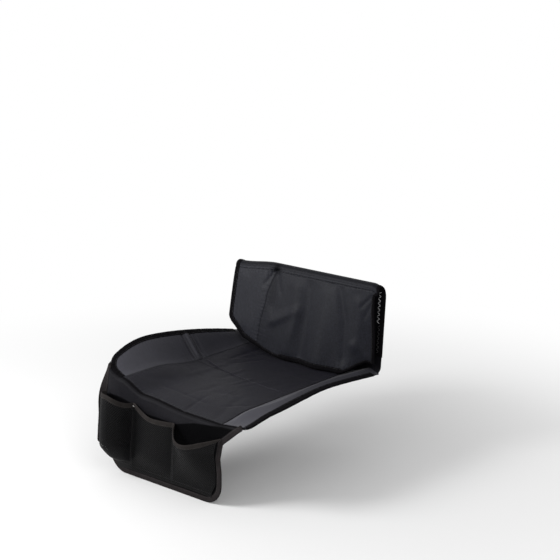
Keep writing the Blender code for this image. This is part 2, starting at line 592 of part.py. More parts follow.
def build_back():
    """Back cloth in one sheet, bend, rear layer, fold and front layer, and its edge tape."""
    margin = RING / BACK_WIDTH
    across = np.concatenate(([0.0], np.linspace(margin, 1.0 - margin, 19), [1.0]))
    fold_start = LENGTH_BEND + LENGTH_REAR
    front_start = fold_start + LENGTH_FOLD
    down = np.concatenate([[0.0, 0.5 * LENGTH_BEND], LENGTH_BEND + LENGTH_REAR * np.linspace(0, 1, 6)[:-1],
                           fold_start + LENGTH_FOLD * np.linspace(0, 1, 7)[:-1],
                           front_start + LENGTH_FRONT * np.linspace(0, 1, 11)[:-1],
                           [LENGTH_BACK - RING, LENGTH_BACK]])
    flat = np.stack(np.meshgrid(BACK_LEFT + across * BACK_WIDTH, down), axis=-1)
    cut = np.clip((flat[..., 1] - LENGTH_BACK + BACK_CORNER) / BACK_CORNER, 0, 1)
    inset = BACK_CORNER * (1 - np.sqrt(1 - (0.9 * cut) ** 2))
    flat[..., 0] += inset * np.clip((0.02 - flat[..., 0]) / (0.02 - BACK_LEFT), 0, 1) ** 1.5
    near = np.clip((BACK_LEFT + BACK_RISE_SPAN * 1.1 - flat[..., 0]) / BACK_RISE_SPAN, 0, 1)
    share = np.clip((flat[..., 1] - front_start) / LENGTH_FRONT, 0, 1)
    flat[..., 1] -= share * BACK_RISE * near ** 2 + share ** 3 * HEM_LIFT * smooth((flat[..., 0] - 0.165) / 0.06)
    grids = cloth("back_panel", flat, back_surface, 1, BACK_THICK, PANEL)
    edge, inward = loop_round(len(down) - 1, len(across) - 1, 3)
    tape("back_panel_edge_tape", grids, edge, inward, TAPE_WIDTH, TAPE)


for old in list(bpy.data.objects):
    bpy.data.objects.remove(old)

FIELD = (0.022, 0.022, 0.027)
WING = (0.034, 0.034, 0.042)
PANEL = (0.027, 0.030, 0.033)
TAPE = (0.011, 0.010, 0.010)
RIM = (0.025, 0.022, 0.022)
NET = (0.008, 0.008, 0.009)

build_seat()
build_flap()
build_pockets()
build_back()
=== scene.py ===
# %% [markdown]
# # A sewn protective mat with net pockets
#
# The real thing is a mat of black polyester. A padded cloth with two side wings lies flat, a
# flap with three net pockets hangs in front, and a back cloth stands up behind and is folded
# forward over itself. Every cut edge is bound with folded tape.
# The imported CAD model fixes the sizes. This lesson works out each cloth again as a finer
# surface, with its puckers, creases, stitches and weave, in the same frame.

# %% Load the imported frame
import bpy
import numpy as np
from mathutils import Matrix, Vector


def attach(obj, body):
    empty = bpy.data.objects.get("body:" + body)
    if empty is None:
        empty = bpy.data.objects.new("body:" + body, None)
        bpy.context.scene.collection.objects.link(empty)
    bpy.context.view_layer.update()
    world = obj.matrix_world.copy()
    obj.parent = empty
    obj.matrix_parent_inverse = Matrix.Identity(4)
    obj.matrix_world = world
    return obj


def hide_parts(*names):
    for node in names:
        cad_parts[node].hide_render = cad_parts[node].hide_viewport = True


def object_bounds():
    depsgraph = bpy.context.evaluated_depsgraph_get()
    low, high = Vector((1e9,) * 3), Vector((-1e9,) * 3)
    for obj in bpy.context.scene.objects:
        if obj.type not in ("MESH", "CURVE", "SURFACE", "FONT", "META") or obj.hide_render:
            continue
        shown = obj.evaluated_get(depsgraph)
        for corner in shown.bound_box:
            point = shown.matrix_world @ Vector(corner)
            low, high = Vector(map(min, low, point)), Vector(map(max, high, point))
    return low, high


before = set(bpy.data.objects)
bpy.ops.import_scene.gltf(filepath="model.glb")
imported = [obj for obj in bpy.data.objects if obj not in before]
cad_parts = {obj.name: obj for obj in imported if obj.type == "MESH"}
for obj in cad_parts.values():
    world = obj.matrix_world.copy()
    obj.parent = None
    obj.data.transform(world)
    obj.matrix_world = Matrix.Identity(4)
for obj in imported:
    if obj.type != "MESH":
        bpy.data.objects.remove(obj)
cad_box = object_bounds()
print("CAD box, metres:", [[round(float(v), 4) for v in corner] for corner in cad_box])

# %% [markdown]
# ## The camera
#
# A camera is a place, three directions and a focal length. This one stands to the right of the
# flap and a little above the cloth. Its place is worked out from two angles and a distance,
# which is easier to correct than a place typed in by hand.

# %% Camera
CAMERA_TURN = np.radians(41.538)
CAMERA_RISE = np.radians(14.374)
CAMERA_DISTANCE = 2.9356
CAMERA_ASIDE = 0.0997
CAMERA_OVER = 0.2466
FOCAL_PIXELS = 1184.13
FRAME_PIXELS = 560
SENSOR_WIDTH = 36.0
CAMERA_LIFT = 0.0035
to_right = np.array([np.cos(CAMERA_TURN), np.sin(CAMERA_TURN), 0.0])
to_back = np.array([np.sin(CAMERA_TURN) * np.cos(CAMERA_RISE),
                    -np.cos(CAMERA_TURN) * np.cos(CAMERA_RISE), np.sin(CAMERA_RISE)])
to_top = np.cross(to_back, to_right)
eye = CAMERA_ASIDE * to_right + CAMERA_OVER * to_top + CAMERA_DISTANCE * to_back
eye = eye + np.array([0.0, 0.0, CAMERA_LIFT])
camera = bpy.data.objects.new("camera", bpy.data.cameras.new("camera"))
camera.data.sensor_width = SENSOR_WIDTH
camera.data.lens = FOCAL_PIXELS / FRAME_PIXELS * SENSOR_WIDTH
turn = np.eye(4)
turn[:3, 0], turn[:3, 1], turn[:3, 2], turn[:3, 3] = to_right, to_top, to_back, eye
camera.matrix_world = Matrix(turn.tolist())
bpy.context.scene.collection.objects.link(camera)
bpy.context.scene.camera = camera
print("camera at", eye.round(3), "with a lens of", round(camera.data.lens, 2), "mm")

# %% [markdown]
# ## Floor and light
#
# Black cloth shows its folds only by the light that grazes them, so the key light stands to the
# left of the camera and the rest of the room is a soft even white. The floor is pale and takes
# the mat's shadow near it; further out the camera sees it fade into the white of the world.

# %% Shader nodes
def link(tree, source, target):
    """Join one node's output socket to another's input socket."""
    tree.links.new(source, target)


def new_node(tree, kind, operation=None, **values):
    """Shader node with its operation and plain input values; an underscore stands for a space."""
    made = tree.nodes.new("ShaderNode" + kind)
    if operation is not None:
        made.operation = operation
    for name, value in values.items():
        made.inputs[name.replace("_", " ")].default_value = value
    return made


def math_node(tree, kind, first, second=None):
    """Output of a Math node whose inputs are sockets or plain numbers."""
    made = new_node(tree, "Math", kind)
    for slot, value in enumerate((first, second)):
        if value is None:
            continue
        if isinstance(value, (int, float)):
            made.inputs[slot].default_value = value
        else:
            link(tree, value, made.inputs[slot])
    return made.outputs[0]


def mixed(tree, share, first, second, target):
    """Shader sent to a target: (1 - share) first + share second."""
    mix = new_node(tree, "MixShader")
    link(tree, share, mix.inputs["Fac"])
    link(tree, first, mix.inputs[1])
    link(tree, second, mix.inputs[2])
    link(tree, mix.outputs[0], target)


def seen_rays(tree):
    """1 for camera, glossy and transmission rays, which see the white background; else 0."""
    path = new_node(tree, "LightPath")
    near = math_node(tree, "MAXIMUM", path.outputs["Is Camera Ray"], path.outputs["Is Glossy Ray"])
    return math_node(tree, "MAXIMUM", near, path.outputs["Is Transmission Ray"])


# %% Floor and world
FLOOR_GAP = 0.0006
FLOOR_REACH = 14.0
FLOOR_PALE = (0.86, 0.86, 0.86, 1)
FADE_FROM, FADE_TO = 0.35, 1.6
WHITE = (1, 1, 1, 1)
ROOM_LIGHT = 0.55
floor_height = float(cad_box[0][2]) - FLOOR_GAP
corners = FLOOR_REACH * np.array([[-1, -1, 0], [1, -1, 0], [1, 1, 0], [-1, 1, 0]])
floor_mesh = bpy.data.meshes.new("floor")
floor_mesh.from_pydata((corners + [0, 0, floor_height]).tolist(), [], [(0, 1, 2, 3)])
floor = bpy.data.objects.new("floor", floor_mesh)
bpy.context.scene.collection.objects.link(floor)

floor_look = bpy.data.materials.new("pale_floor")
floor_look.use_nodes = True
tree = floor_look.node_tree
shader = tree.nodes["Principled BSDF"]
shader.inputs["Base Color"].default_value = FLOOR_PALE
shader.inputs["Roughness"].default_value = 0.9
place = new_node(tree, "TexCoord")
span = new_node(tree, "VectorMath", "LENGTH")
fade = new_node(tree, "MapRange", From_Min=FADE_FROM, From_Max=FADE_TO)
fade.interpolation_type = "SMOOTHSTEP"
white = new_node(tree, "Emission", Color=WHITE)
link(tree, place.outputs["Object"], span.inputs[0])
link(tree, span.outputs["Value"], fade.inputs["Value"])
mixed(tree, math_node(tree, "MULTIPLY", fade.outputs["Result"], seen_rays(tree)),
      shader.outputs[0], white.outputs[0], tree.nodes["Material Output"].inputs["Surface"])
floor_mesh.materials.append(floor_look)

world = bpy.data.worlds.new("studio")
world.use_nodes = True
bpy.context.scene.world = world
tree = world.node_tree
soft = tree.nodes["Background"]
soft.inputs["Color"].default_value = WHITE
soft.inputs["Strength"].default_value = ROOM_LIGHT
clear = new_node(tree, "Background", Color=WHITE, Strength=1.0)
mixed(tree, seen_rays(tree), soft.outputs[0], clear.outputs[0], tree.nodes["World Output"].inputs["Surface"])
bpy.context.scene.view_settings.view_transform = "Standard"


# %% Lamps
def softbox(name, place, aim, side, watts):
    """Square area lamp at a place, turned so that its -Z axis points at the aim."""
    place = np.array(place, float)
    back = place - np.array(aim, float)
    back = back / np.linalg.norm(back)
    across = np.cross([0, 0, 1], back)
    across = across / np.linalg.norm(across)
    lamp = bpy.data.lights.new(name, "AREA")
    lamp.size = side
    lamp.energy = watts
    made = bpy.data.objects.new(name, lamp)
    turn = np.eye(4)
    turn[:3, 0], turn[:3, 1], turn[:3, 2], turn[:3, 3] = across, np.cross(back, across), back, place
    made.matrix_world = Matrix(turn.tolist())
    bpy.context.scene.collection.objects.link(made)


softbox("key_softbox", place=(-1.15, -1.55, 1.25), aim=(0.0, 0.0, 0.0), side=0.8, watts=42.0)
softbox("fill_softbox", place=(2.0, -0.9, 1.6), aim=(0.0, -0.1, 0.0), side=1.4, watts=14.0)
print("floor at", round(floor_height, 4), "m")

# %% [markdown]
# ## Sizes of the mat
#
# The finer surfaces repeat the CAD model's sizes, so that each cloth lies where its solid is.
# All lengths are in metres.

# %% Sizes
SEAT_THICK = 0.0035
FLAP_THICK = 0.0020
BACK_THICK = 0.0024
NET_THICK = 0.0007
GAP = 0.0003
TAPE_WIDTH = 0.0120
PIPING_WIDTH = 0.0035
RIM_WIDTH = 0.0105
SEAT_FRONT = -0.232
SEAT_BACK = 0.238
SEAM_LEFT = -0.172
SEAM_RIGHT = 0.160
EDGE_LEFT = -0.232
EDGE_RIGHT = 0.238
EDGE_RIGHT_SPREAD = 0.012
CORNER_LEFT = 0.034
CORNER_RIGHT = 0.016

# %% [markdown]
# ## Tools for surfaces
#
# A cloth is a surface: two coordinates in the flat cloth give a point in space. Worked out on a
# grid as whole arrays, it becomes a mesh in one step. A sheet is that grid, the same grid moved
# back by the thickness, and a rim of faces between them. Blender's Solidify modifier could add
# the thickness too, but two grids keep the underside free for its own material.

# %% Easing, directions and grids
SLOPE_STEP = 0.0006


def smooth(t):
    """Ease 3t^2 - 2t^3 between 0 and 1, held outside."""
    t = np.clip(t, 0.0, 1.0)
    return t * t * (3.0 - 2.0 * t)


def unit(vectors):
    """Vectors divided by their lengths."""
    return vectors / np.linalg.norm(vectors, axis=-1, keepdims=True)


def arc(centre, radius, start, end, count=24):
    """Points of a plane arc: centre + radius (cos, sin), angles in degrees."""
    turn = np.radians(np.linspace(start, end, count))
    return np.stack([centre[0] + radius * np.cos(turn), centre[1] + radius * np.sin(turn)], axis=1)


def flat_line(u, v):
    """Flat path of two coordinates, either of which may be one number for the whole line."""
    return np.stack(np.broadcast_arrays(u, v), axis=1)


def run_length(points):
    """Length along a line at each of its points, from 0 at the first."""
    return np.concatenate(([0.0], np.cumsum(np.linalg.norm(np.diff(points, axis=0), axis=1))))


def along(points, fractions):
    """Points at given fractions of a line's length."""
    points = np.asarray(points, float)
    length = run_length(points)
    at = np.asarray(fractions) * length[-1]
    return np.stack([np.interp(at, length, points[:, k]) for k in range(points.shape[1])], axis=1)


def patch(top, bottom, left, right, across, down):
    """Grid between four sides: X = (1-q)T + qB + (1-p)L + pR less the bilinear corner term."""
    p = np.asarray(across)[None, :, None]
    q = np.asarray(down)[:, None, None]
    sides = (1 - q) * top[None] + q * bottom[None] + (1 - p) * left[:, None] + p * right[:, None]
    corners = (1 - q) * ((1 - p) * top[0] + p * top[-1]) + q * ((1 - p) * bottom[0] + p * bottom[-1])
    return sides - corners


def slopes(surface, u, v):
    """Slopes dS/du and dS/dv at points of a surface, by central differences."""
    du = (surface(u + SLOPE_STEP, v) - surface(u - SLOPE_STEP, v)) / (2 * SLOPE_STEP)
    dv = (surface(u, v + SLOPE_STEP) - surface(u, v - SLOPE_STEP)) / (2 * SLOPE_STEP)
    return du, dv


def normals(surface, u, v, side=1):
    """Unit normals: side times dS/du x dS/dv."""
    return side * unit(np.cross(*slopes(surface, u, v)))


def piece(name, points, face_groups, uv, looks, slots=None, sharp=60.0, painted_shading=None):
    """Mesh object from points, groups of equal faces, one UV pair and one painted shading factor a point, and
    materials.
    """
    mesh = bpy.data.meshes.new(name)
    mesh.vertices.add(len(points))
    mesh.vertices.foreach_set("co", np.ascontiguousarray(points, dtype=np.float32).ravel())
    corners = np.concatenate([group.ravel() for group in face_groups])
    counts = np.concatenate([np.full(len(group), group.shape[1]) for group in face_groups])
    mesh.loops.add(len(corners))
    mesh.loops.foreach_set("vertex_index", corners.astype(np.int32))
    mesh.polygons.add(len(counts))
    mesh.polygons.foreach_set("loop_start", (np.cumsum(counts) - counts).astype(np.int32))
    mesh.polygons.foreach_set("use_smooth", np.ones(len(counts), dtype=bool))
    if slots is not None:
        mesh.polygons.foreach_set("material_index", np.asarray(slots, dtype=np.int32))
    mesh.update(calc_edges=True)
    layer = mesh.uv_layers.new(name="cloth")
    layer.data.foreach_set("uv", np.asarray(uv, dtype=np.float32)[corners].ravel())
    shades = mesh.attributes.new(name="painted_shading", type="FLOAT", domain="POINT")
    shades.data.foreach_set("value", np.ones(len(points)) if painted_shading is None else np.asarray(painted_shading).ravel())
    for look in looks:
        mesh.materials.append(look)
    mesh.set_sharp_from_angle(angle=np.radians(sharp))
    made = bpy.data.objects.new(name, mesh)
    bpy.context.scene.collection.objects.link(made)
    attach(made, "root")
    return made


def sheet_faces(rows, columns):
    """Quads of a sheet's face, reverse and rim, for points listed face first, reverse second."""
    n = np.arange(rows * columns).reshape(rows, columns)
    face = np.stack([n[:-1, :-1], n[:-1, 1:], n[1:, 1:], n[1:, :-1]], axis=-1).reshape(-1, 4)
    ring = np.concatenate([n[0, :-1], n[:-1, -1], n[-1, :0:-1], n[:0:-1, 0]])
    onward = np.roll(ring, -1)
    rim = np.stack([onward, ring, ring + n.size, onward + n.size], axis=1)
    return face, face[:, ::-1] + n.size, rim


def cloth(name, flat, surface, thick, looks, side=1, painted_shading=None):
    """Closed sheet behind a surface; the first material is its face, the second its reverse."""
    u, v = flat[..., 0], flat[..., 1]
    face = surface(u, v)
    normal = normals(surface, u, v, side)
    facing = np.cross(face[1:, 1:] - face[:-1, :-1], face[1:, :-1] - face[:-1, 1:])
    turned = float((facing * normal[:-1, :-1]).sum()) < 0
    points = np.concatenate([face.reshape(-1, 3), (face - thick * normal).reshape(-1, 3)])
    groups = sheet_faces(*u.shape)
    if turned:
        groups = tuple(group[:, ::-1] for group in groups)
    slots = np.repeat([0, 1, 0], [len(group) for group in groups])
    uv = np.concatenate([flat.reshape(-1, 2), flat.reshape(-1, 2)])
    shades = None if painted_shading is None else np.concatenate([painted_shading.ravel(), painted_shading.ravel()])
    made = piece(name, points, groups, uv, looks, slots, painted_shading=shades)
    area = float(np.linalg.norm(facing, axis=-1).sum() / 2)
    wide = float(np.linalg.norm(np.diff(face, axis=1), axis=-1).sum(axis=1).mean())
    long = float(np.linalg.norm(np.diff(face, axis=0), axis=-1).sum(axis=0).mean())
    print(name, "is", round(wide, 3), "by", round(long, 3), "m, area", round(area, 4))
    return made, area


# %% [markdown]
# ## Tape and thread
#
# Binding tape is folded over the cloth's cut edge and sewn through, so its section is a flat U,
# and it follows every wave of the cloth. At each point of the edge the section needs the
# direction into the cloth, square to the edge. A tape could also be a bevelled curve, but that
# turns freely about its path, and this one has to stay on the cloth.
#
# A stitch is a short worm of thread whose two ends dive into the cloth. One small form, placed
# thousands of times by arrays, gives every seam.

# %% Directions on a surface
def inward_step(surface, path, side, hand):
    """Flat step that moves one metre into the cloth, square to a path, and the 3-D direction."""
    u, v = path[:, 0], path[:, 1]
    du, dv = slopes(surface, u, v)
    normal = side * unit(np.cross(du, dv))
    line = surface(u, v)
    tangent = unit(np.gradient(line, axis=0))
    into = hand * unit(np.cross(normal, tangent))
    a, b, c = (du * du).sum(-1), (du * dv).sum(-1), (dv * dv).sum(-1)
    p, q = (du * into).sum(-1), (dv * into).sum(-1)
    det = a * c - b * b
    return np.stack([(c * p - b * q) / det, (a * q - b * p) / det], axis=1), into, normal


def resampled(path, surface, spacing):
    """A flat path with points at equal spacing in space, corners rounded by the spacing."""
    fine = along(path, np.linspace(0, 1, 1200))
    length = run_length(surface(fine[:, 0], fine[:, 1]))
    at = np.linspace(0, length[-1], max(int(length[-1] / spacing), 2) + 1)
    return np.stack([np.interp(at, length, fine[:, k]) for k in range(2)], axis=1), at


# %% Folded tape
TAPE_THICK = 0.0009
TAPE_CLEAR = 0.00012
PATH_STEP = 0.0026


def tape_section(width, thick, cloth_thick):
    """Outer and inner U: depth into the cloth and height over its face, top to bottom."""
    flat = np.array([1.0, 0.97, 0.90, 0.82, 0.72, 0.5, 0.25, 0.08])
    press = np.array([0.30, 0.80, 0.85, 0.55, 0.95, 1.15, 1.12, 1.05])
    turn = np.radians(np.array([60.0, 30.0, 0.0, -30.0, -60.0]))
    outs = []
    for raise_by, shape in ((TAPE_CLEAR + thick, press), (TAPE_CLEAR, 0 * press + 1)):
        lift = (raise_by - TAPE_CLEAR) * shape + TAPE_CLEAR
        radius = cloth_thick / 2 + raise_by
        depth = np.concatenate([flat * width, -radius * np.cos(turn), flat[::-1] * width])
        height = np.concatenate([lift, radius * np.sin(turn) - cloth_thick / 2, -cloth_thick - lift[::-1]])
        outs.append(np.stack([depth, height], axis=1))
    return outs


def folded_tape(name, surface, path, look, width, cloth_thick, side=1, hand=1, thick=TAPE_THICK, wobble=0.05):
    """Tape swept along an edge: S(edge + depth x step) + height x normal, one U at each point.

    The width is one number, or a function of the flat path that gives one for each point.
    """
    path, at = resampled(path, surface, PATH_STEP)
    step, into, _ = inward_step(surface, path, side, hand)
    outer, inner = tape_section(1.0, thick, cloth_thick)
    section = np.concatenate([outer, inner[::-1]])
    wide = (width(path) if callable(width) else np.full(len(path), width))[:, None]
    depth = np.where(section[:, 0] > 0.02, section[:, 0] * wide, section[:, 0])
    height = section[:, 1][None, :]
    swell = 1 + wobble * (np.sin(at * 210 + 2 * np.sin(at * 37)) + 0.6 * np.sin(at * 433 + 1.3))[:, None]
    middle = -cloth_thick / 2
    outer_side = np.abs(height - middle) > cloth_thick / 2 + 0.0004
    height = middle + (height - middle) * np.where(outer_side, swell, 1)
    u = path[:, :1] + step[:, :1] * np.clip(depth, 0, None)
    v = path[:, 1:] + step[:, 1:] * np.clip(depth, 0, None)
    base = surface(u, v) + into[:, None] * np.clip(depth, None, 0)[..., None]
    points = base + normals(surface, u, v, side) * height[..., None]
    count, ring = points.shape[:2]
    n = np.arange(count * ring).reshape(count, ring)
    onward = np.roll(n, -1, axis=1)
    walls = np.stack([n[:-1], onward[:-1], onward[1:], n[1:]], axis=-1).reshape(-1, 4)
    half = ring // 2
    k = np.arange(half - 1)
    first = np.stack([n[0, k], n[0, ring - 1 - k], n[0, ring - 2 - k], n[0, k + 1]], axis=1)
    last = np.stack([n[-1, k], n[-1, k + 1], n[-1, ring - 2 - k], n[-1, ring - 1 - k]], axis=1)
    groups = (walls, first, last)
    ring_normal = np.cross(points[0, 2] - points[0, 3], points[1, 3] - points[0, 3])
    if float(ring_normal @ (points[0, 3] - points[0, ring - 4])) < 0:
        groups = tuple(group[:, ::-1] for group in groups)
    girth = run_length(section) * TAPE_WIDTH
    uv = np.stack([np.broadcast_to(at[:, None], n.shape), np.broadcast_to(girth[None], n.shape)], axis=-1)
    made = piece(name, points.reshape(-1, 3), groups, uv.reshape(-1, 2), [look])
    print(name, "is", round(float(at[-1]), 3), "m long,", sum(len(g) for g in groups), "faces")
    return made


# %% Stitches
STITCH_REACH = np.array([-1.0, -0.62, 0.0, 0.62, 1.0])
STITCH_ROUND = np.array([0.35, 0.95, 1.0, 0.95, 0.35])
STITCH_LIFT = np.array([-0.9, 0.15, 0.55, 0.15, -0.9])


def stitches(name, places, tangents, upward, look, length=0.0026, radius=0.00026):
    """Worms of thread: ring k of a stitch is at reach k along it, with radius and lift of k."""
    beside = unit(np.cross(upward, tangents))
    angle = np.radians([45.0, 135.0, 225.0, 315.0])
    ring = np.stack([np.cos(angle), np.sin(angle)], axis=1)
    reach = STITCH_REACH[:, None] * length / 2 + 0 * angle
    aside = radius * STITCH_ROUND[:, None] * ring[None, :, 0]
    rise = radius * (STITCH_ROUND[:, None] * ring[None, :, 1] + STITCH_LIFT[:, None])
    form = np.stack([reach, aside, rise], axis=-1).reshape(-1, 3)
    axes = np.stack([tangents, beside, upward], axis=1)
    points = places[:, None] + np.einsum("kc,nca->nka", form, axes)
    n = np.arange(len(form)).reshape(5, 4)
    onward = np.roll(n, -1, axis=1)
    wall = np.stack([n[:-1], onward[:-1], onward[1:], n[1:]], axis=-1).reshape(-1, 4)
    quads = np.concatenate([wall, n[:1, ::-1], n[-1:]])[:, ::-1]
    every = (quads[None] + (np.arange(len(places)) * len(form))[:, None, None]).reshape(-1, 4)
    uv = np.tile(form[:, :2], (len(places), 1))
    return piece(name, points.reshape(-1, 3), (every,), uv, [look])


def seam_run(surface, path, lift, pitch=0.0034, side=1, zigzag=0.0):
    """Places, directions and normals of stitches along a flat path, lifted off the cloth."""
    path, _ = resampled(path, surface, pitch)
    _, into, normal = inward_step(surface, path, side, 1)
    line = surface(path[:, 0], path[:, 1]) + lift * normal
    swing = np.where(np.arange(len(path)) % 2 == 0, 1.0, -1.0)[:, None] * into * zigzag
    line = line + swing
    tangents = unit(np.diff(line, axis=0))
    return (line[:-1] + line[1:]) / 2, tangents, unit(normal[:-1] + normal[1:])


def inset(surface, path, side, hand, depth):
    """The flat path moved into the cloth by a depth in metres."""
    path, _ = resampled(path, surface, PATH_STEP)
    step, _, _ = inward_step(surface, path, side, hand)
    return path + step * (depth(path)[:, None] if callable(depth) else depth)


def joined(runs):
    """Several stitch runs as one set of arrays."""
    return tuple(np.concatenate([run[k] for run in runs]) for k in range(3))


# %% [markdown]
# ## Cloth materials
#
# The same black reads differently on each part: the middle field is a plain weave with hardly
# any gloss, the wings are smoother and greyer, and the back cloth shows its matt reverse. Each
# is one Principled shader. The weave is two crossed sine waves on the cloth's own UV map, which
# is in metres, so a yarn is as wide as a real one wherever the cloth bends. A picture of cloth
# would be quicker, but it wouldn't hold up close.

# %% Pieces of a cloth material
def new_look(name, colour, roughness, gloss, sheen):
    """Material with its Principled shader's plain numbers set."""
    look = bpy.data.materials.new(name)
    look.use_nodes = True
    shader = look.node_tree.nodes["Principled BSDF"]
    plain = {"Base Color": (*colour, 1), "Roughness": roughness, "Specular IOR Level": gloss,
             "Sheen Weight": sheen, "Sheen Roughness": 0.45}
    for socket, value in plain.items():
        shader.inputs[socket].default_value = value
    return look, look.node_tree, shader


def cloth_map(tree):
    """The piece's own UV map in metres: the pair, and its two coordinates."""
    uv = new_node(tree, "UVMap")
    uv.uv_map = "cloth"
    split = new_node(tree, "SeparateXYZ")
    link(tree, uv.outputs["UV"], split.inputs[0])
    return uv.outputs["UV"], split.outputs["X"], split.outputs["Y"]


def yarn_wave(tree, coordinate, pitch):
    """Sine of the coordinate, one turn each pitch."""
    return math_node(tree, "SINE", math_node(tree, "MULTIPLY", coordinate, 2 * np.pi / pitch))


def noise_at(tree, coordinates, scale, detail):
    """Noise from 0 to 1 at the coordinates."""
    noise = new_node(tree, "TexNoise", Scale=scale, Detail=detail)
    link(tree, coordinates, noise.inputs["Vector"])
    return noise.outputs["Fac"]


def slubs(tree, coordinates, along_yarn, across_yarn):
    """Noise drawn out along one yarn direction, as uneven yarn looks: 0 to 1."""
    drawn = new_node(tree, "Mapping", Scale=(along_yarn, across_yarn, 1.0))
    link(tree, coordinates, drawn.inputs["Vector"])
    return noise_at(tree, drawn.outputs["Vector"], 1.0, 2.0)


def bumped(tree, shader, height, strength, distance):
    """Tilt the shader's normal by the slopes of a height."""
    bump = new_node(tree, "Bump", Strength=strength, Distance=distance)
    link(tree, height, bump.inputs["Height"])
    link(tree, bump.outputs["Normal"], shader.inputs["Normal"])


def scaled(tree, colour, *factors):
    """A colour times each factor."""
    for factor in factors:
        shade = new_node(tree, "VectorMath", "SCALE")
        link(tree, colour, shade.inputs[0])
        link(tree, factor, shade.inputs["Scale"])
        colour = shade.outputs["Vector"]
    return colour


def mottled(tree, colour, contrast, scale):
    """Colour varied by slow noise, as dye and handling do, from 1 - contrast to 1 + contrast."""
    place = new_node(tree, "TexCoord")
    ramp = new_node(tree, "MapRange", From_Min=0.3, From_Max=0.7, To_Min=1 - contrast, To_Max=1 + contrast)
    tint = new_node(tree, "VectorMath", "SCALE")
    tint.inputs[0].default_value = colour
    link(tree, noise_at(tree, place.outputs["Object"], scale, 5.0), ramp.inputs["Value"])
    link(tree, ramp.outputs["Result"], tint.inputs["Scale"])
    return tint.outputs["Vector"]


def painted_shading_of(tree):
    """The mesh's painted light and shade, a factor on the colour: worked out with the shape, 1 where nothing
    is painted.
    """
    shade = new_node(tree, "Attribute")
    shade.attribute_name = "painted_shading"
    return shade.outputs["Fac"]


# %% Woven cloth, ribbed tape and grip backing
SLUB_LONG, SLUB_THIN = 55.0, 620.0
FUZZ_SCALE = 900.0
DOT_SPACING = 0.010


def woven_look(name, colour, roughness, gloss, sheen, pitch=0.0006, depth=0.00012,
               contrast=0.12, grain=0.7, mottle=26.0):
    """Plain weave: height = sin(u) sin(v) of the yarns, slubs along both, and fuzz from fine noise."""
    look, tree, shader = new_look(name, colour, roughness, gloss, sheen)
    uv, u, v = cloth_map(tree)
    over = math_node(tree, "MULTIPLY", yarn_wave(tree, u, pitch), yarn_wave(tree, v, pitch))
    fuzz = noise_at(tree, new_node(tree, "TexCoord").outputs["Object"], FUZZ_SCALE, 3.0)
    streaks = math_node(tree, "ADD", slubs(tree, uv, SLUB_LONG, SLUB_THIN),
                        slubs(tree, uv, SLUB_THIN, SLUB_LONG))
    height = math_node(tree, "ADD", math_node(tree, "MULTIPLY", over, 0.5), fuzz)
    height = math_node(tree, "ADD", height, math_node(tree, "MULTIPLY", streaks, 1.5))
    bumped(tree, shader, height, 0.55, depth)
    dyed = mottled(tree, colour, contrast, mottle)
    yarn = math_node(tree, "ADD", math_node(tree, "MULTIPLY", over, 0.22), 1.0)
    slub = math_node(tree, "ADD", math_node(tree, "MULTIPLY", streaks, grain), 1.0 - grain)
    # The painted light and shade scales both the colour and the gloss.
    painted_shading = painted_shading_of(tree)
    link(tree, scaled(tree, dyed, yarn, slub, painted_shading), shader.inputs["Base Color"])
    link(tree, math_node(tree, "MULTIPLY", painted_shading, gloss), shader.inputs["Specular IOR Level"])
    return look


def ribbed_look(name, colour, pitch=0.0009, roughness=0.75, gloss=0.06):
    """Ribbed tape: ribs across its length, height = sine of the length at the rib pitch."""
    look, tree, shader = new_look(name, colour, roughness, gloss, 0.0)
    _, length, _ = cloth_map(tree)
    ribs = yarn_wave(tree, length, pitch)
    bumped(tree, shader, ribs, 0.5, 0.00012)
    dyed = mottled(tree, colour, 0.2, 60.0)
    rib = math_node(tree, "ADD", math_node(tree, "MULTIPLY", ribs, 0.16), 1.0)
    link(tree, scaled(tree, dyed, rib, painted_shading_of(tree)), shader.inputs["Base Color"])
    return look


def grip_look(name, colour):
    """Anti-slip backing: small raised dots where sin(u) sin(v) is high on a 5 mm grid."""
    look, tree, shader = new_look(name, colour, roughness=0.7, gloss=0.08, sheen=0.0)
    _, u, v = cloth_map(tree)
    raised = new_node(tree, "MapRange", From_Min=0.55, From_Max=0.75)
    raised.interpolation_type = "SMOOTHSTEP"
    link(tree, math_node(tree, "MULTIPLY", yarn_wave(tree, u, DOT_SPACING), yarn_wave(tree, v, DOT_SPACING)),
         raised.inputs["Value"])
    bumped(tree, shader, raised.outputs["Result"], 0.8, 0.0006)
    return look


# %% Colours and materials
FIELD = (0.0040, 0.0037, 0.0070)
WING = (0.0196, 0.0192, 0.0262)
FLAP = (0.0074, 0.0070, 0.0094)
BACK = (0.0078, 0.0082, 0.0122)
BACKING = (0.0200, 0.0200, 0.0210)
EDGE = (0.0028, 0.0025, 0.0032)
RIM = (0.0210, 0.0186, 0.0178)
FLAP_EDGE = (0.0140, 0.0117, 0.0122)
NET = (0.0060, 0.0060, 0.0065)
THREAD = (0.0450, 0.0450, 0.0460)
PALE_THREAD = (0.4600, 0.4600, 0.4650)
WHITE_THREAD = (0.7500, 0.7500, 0.7400)
field_look = woven_look("seat_field_weave", FIELD, roughness=0.55, gloss=0.115, sheen=0.02)
wing_look = woven_look("seat_wing_cloth", WING, roughness=0.55, gloss=0.28, sheen=0.06, pitch=0.0005,
                       depth=0.00008, contrast=0.10, grain=0.4)
flap_look = woven_look("flap_cloth", FLAP, roughness=0.60, gloss=0.10, sheen=0.02)
back_look = woven_look("back_cloth_reverse", BACK, roughness=0.50, gloss=0.12, sheen=0.02, contrast=0.38,
                       grain=0.9, mottle=300.0)
grip_backing = grip_look("grip_backing", BACKING)
edge_look = ribbed_look("edge_tape_ribs", EDGE, gloss=0.035)
rim_look = ribbed_look("rim_tape_ribs", RIM, pitch=0.0011)
flap_edge_look = ribbed_look("flap_tape_ribs", FLAP_EDGE, gloss=0.10)
spun = {"pitch": 0.0008, "roughness": 0.5, "gloss": 0.3}
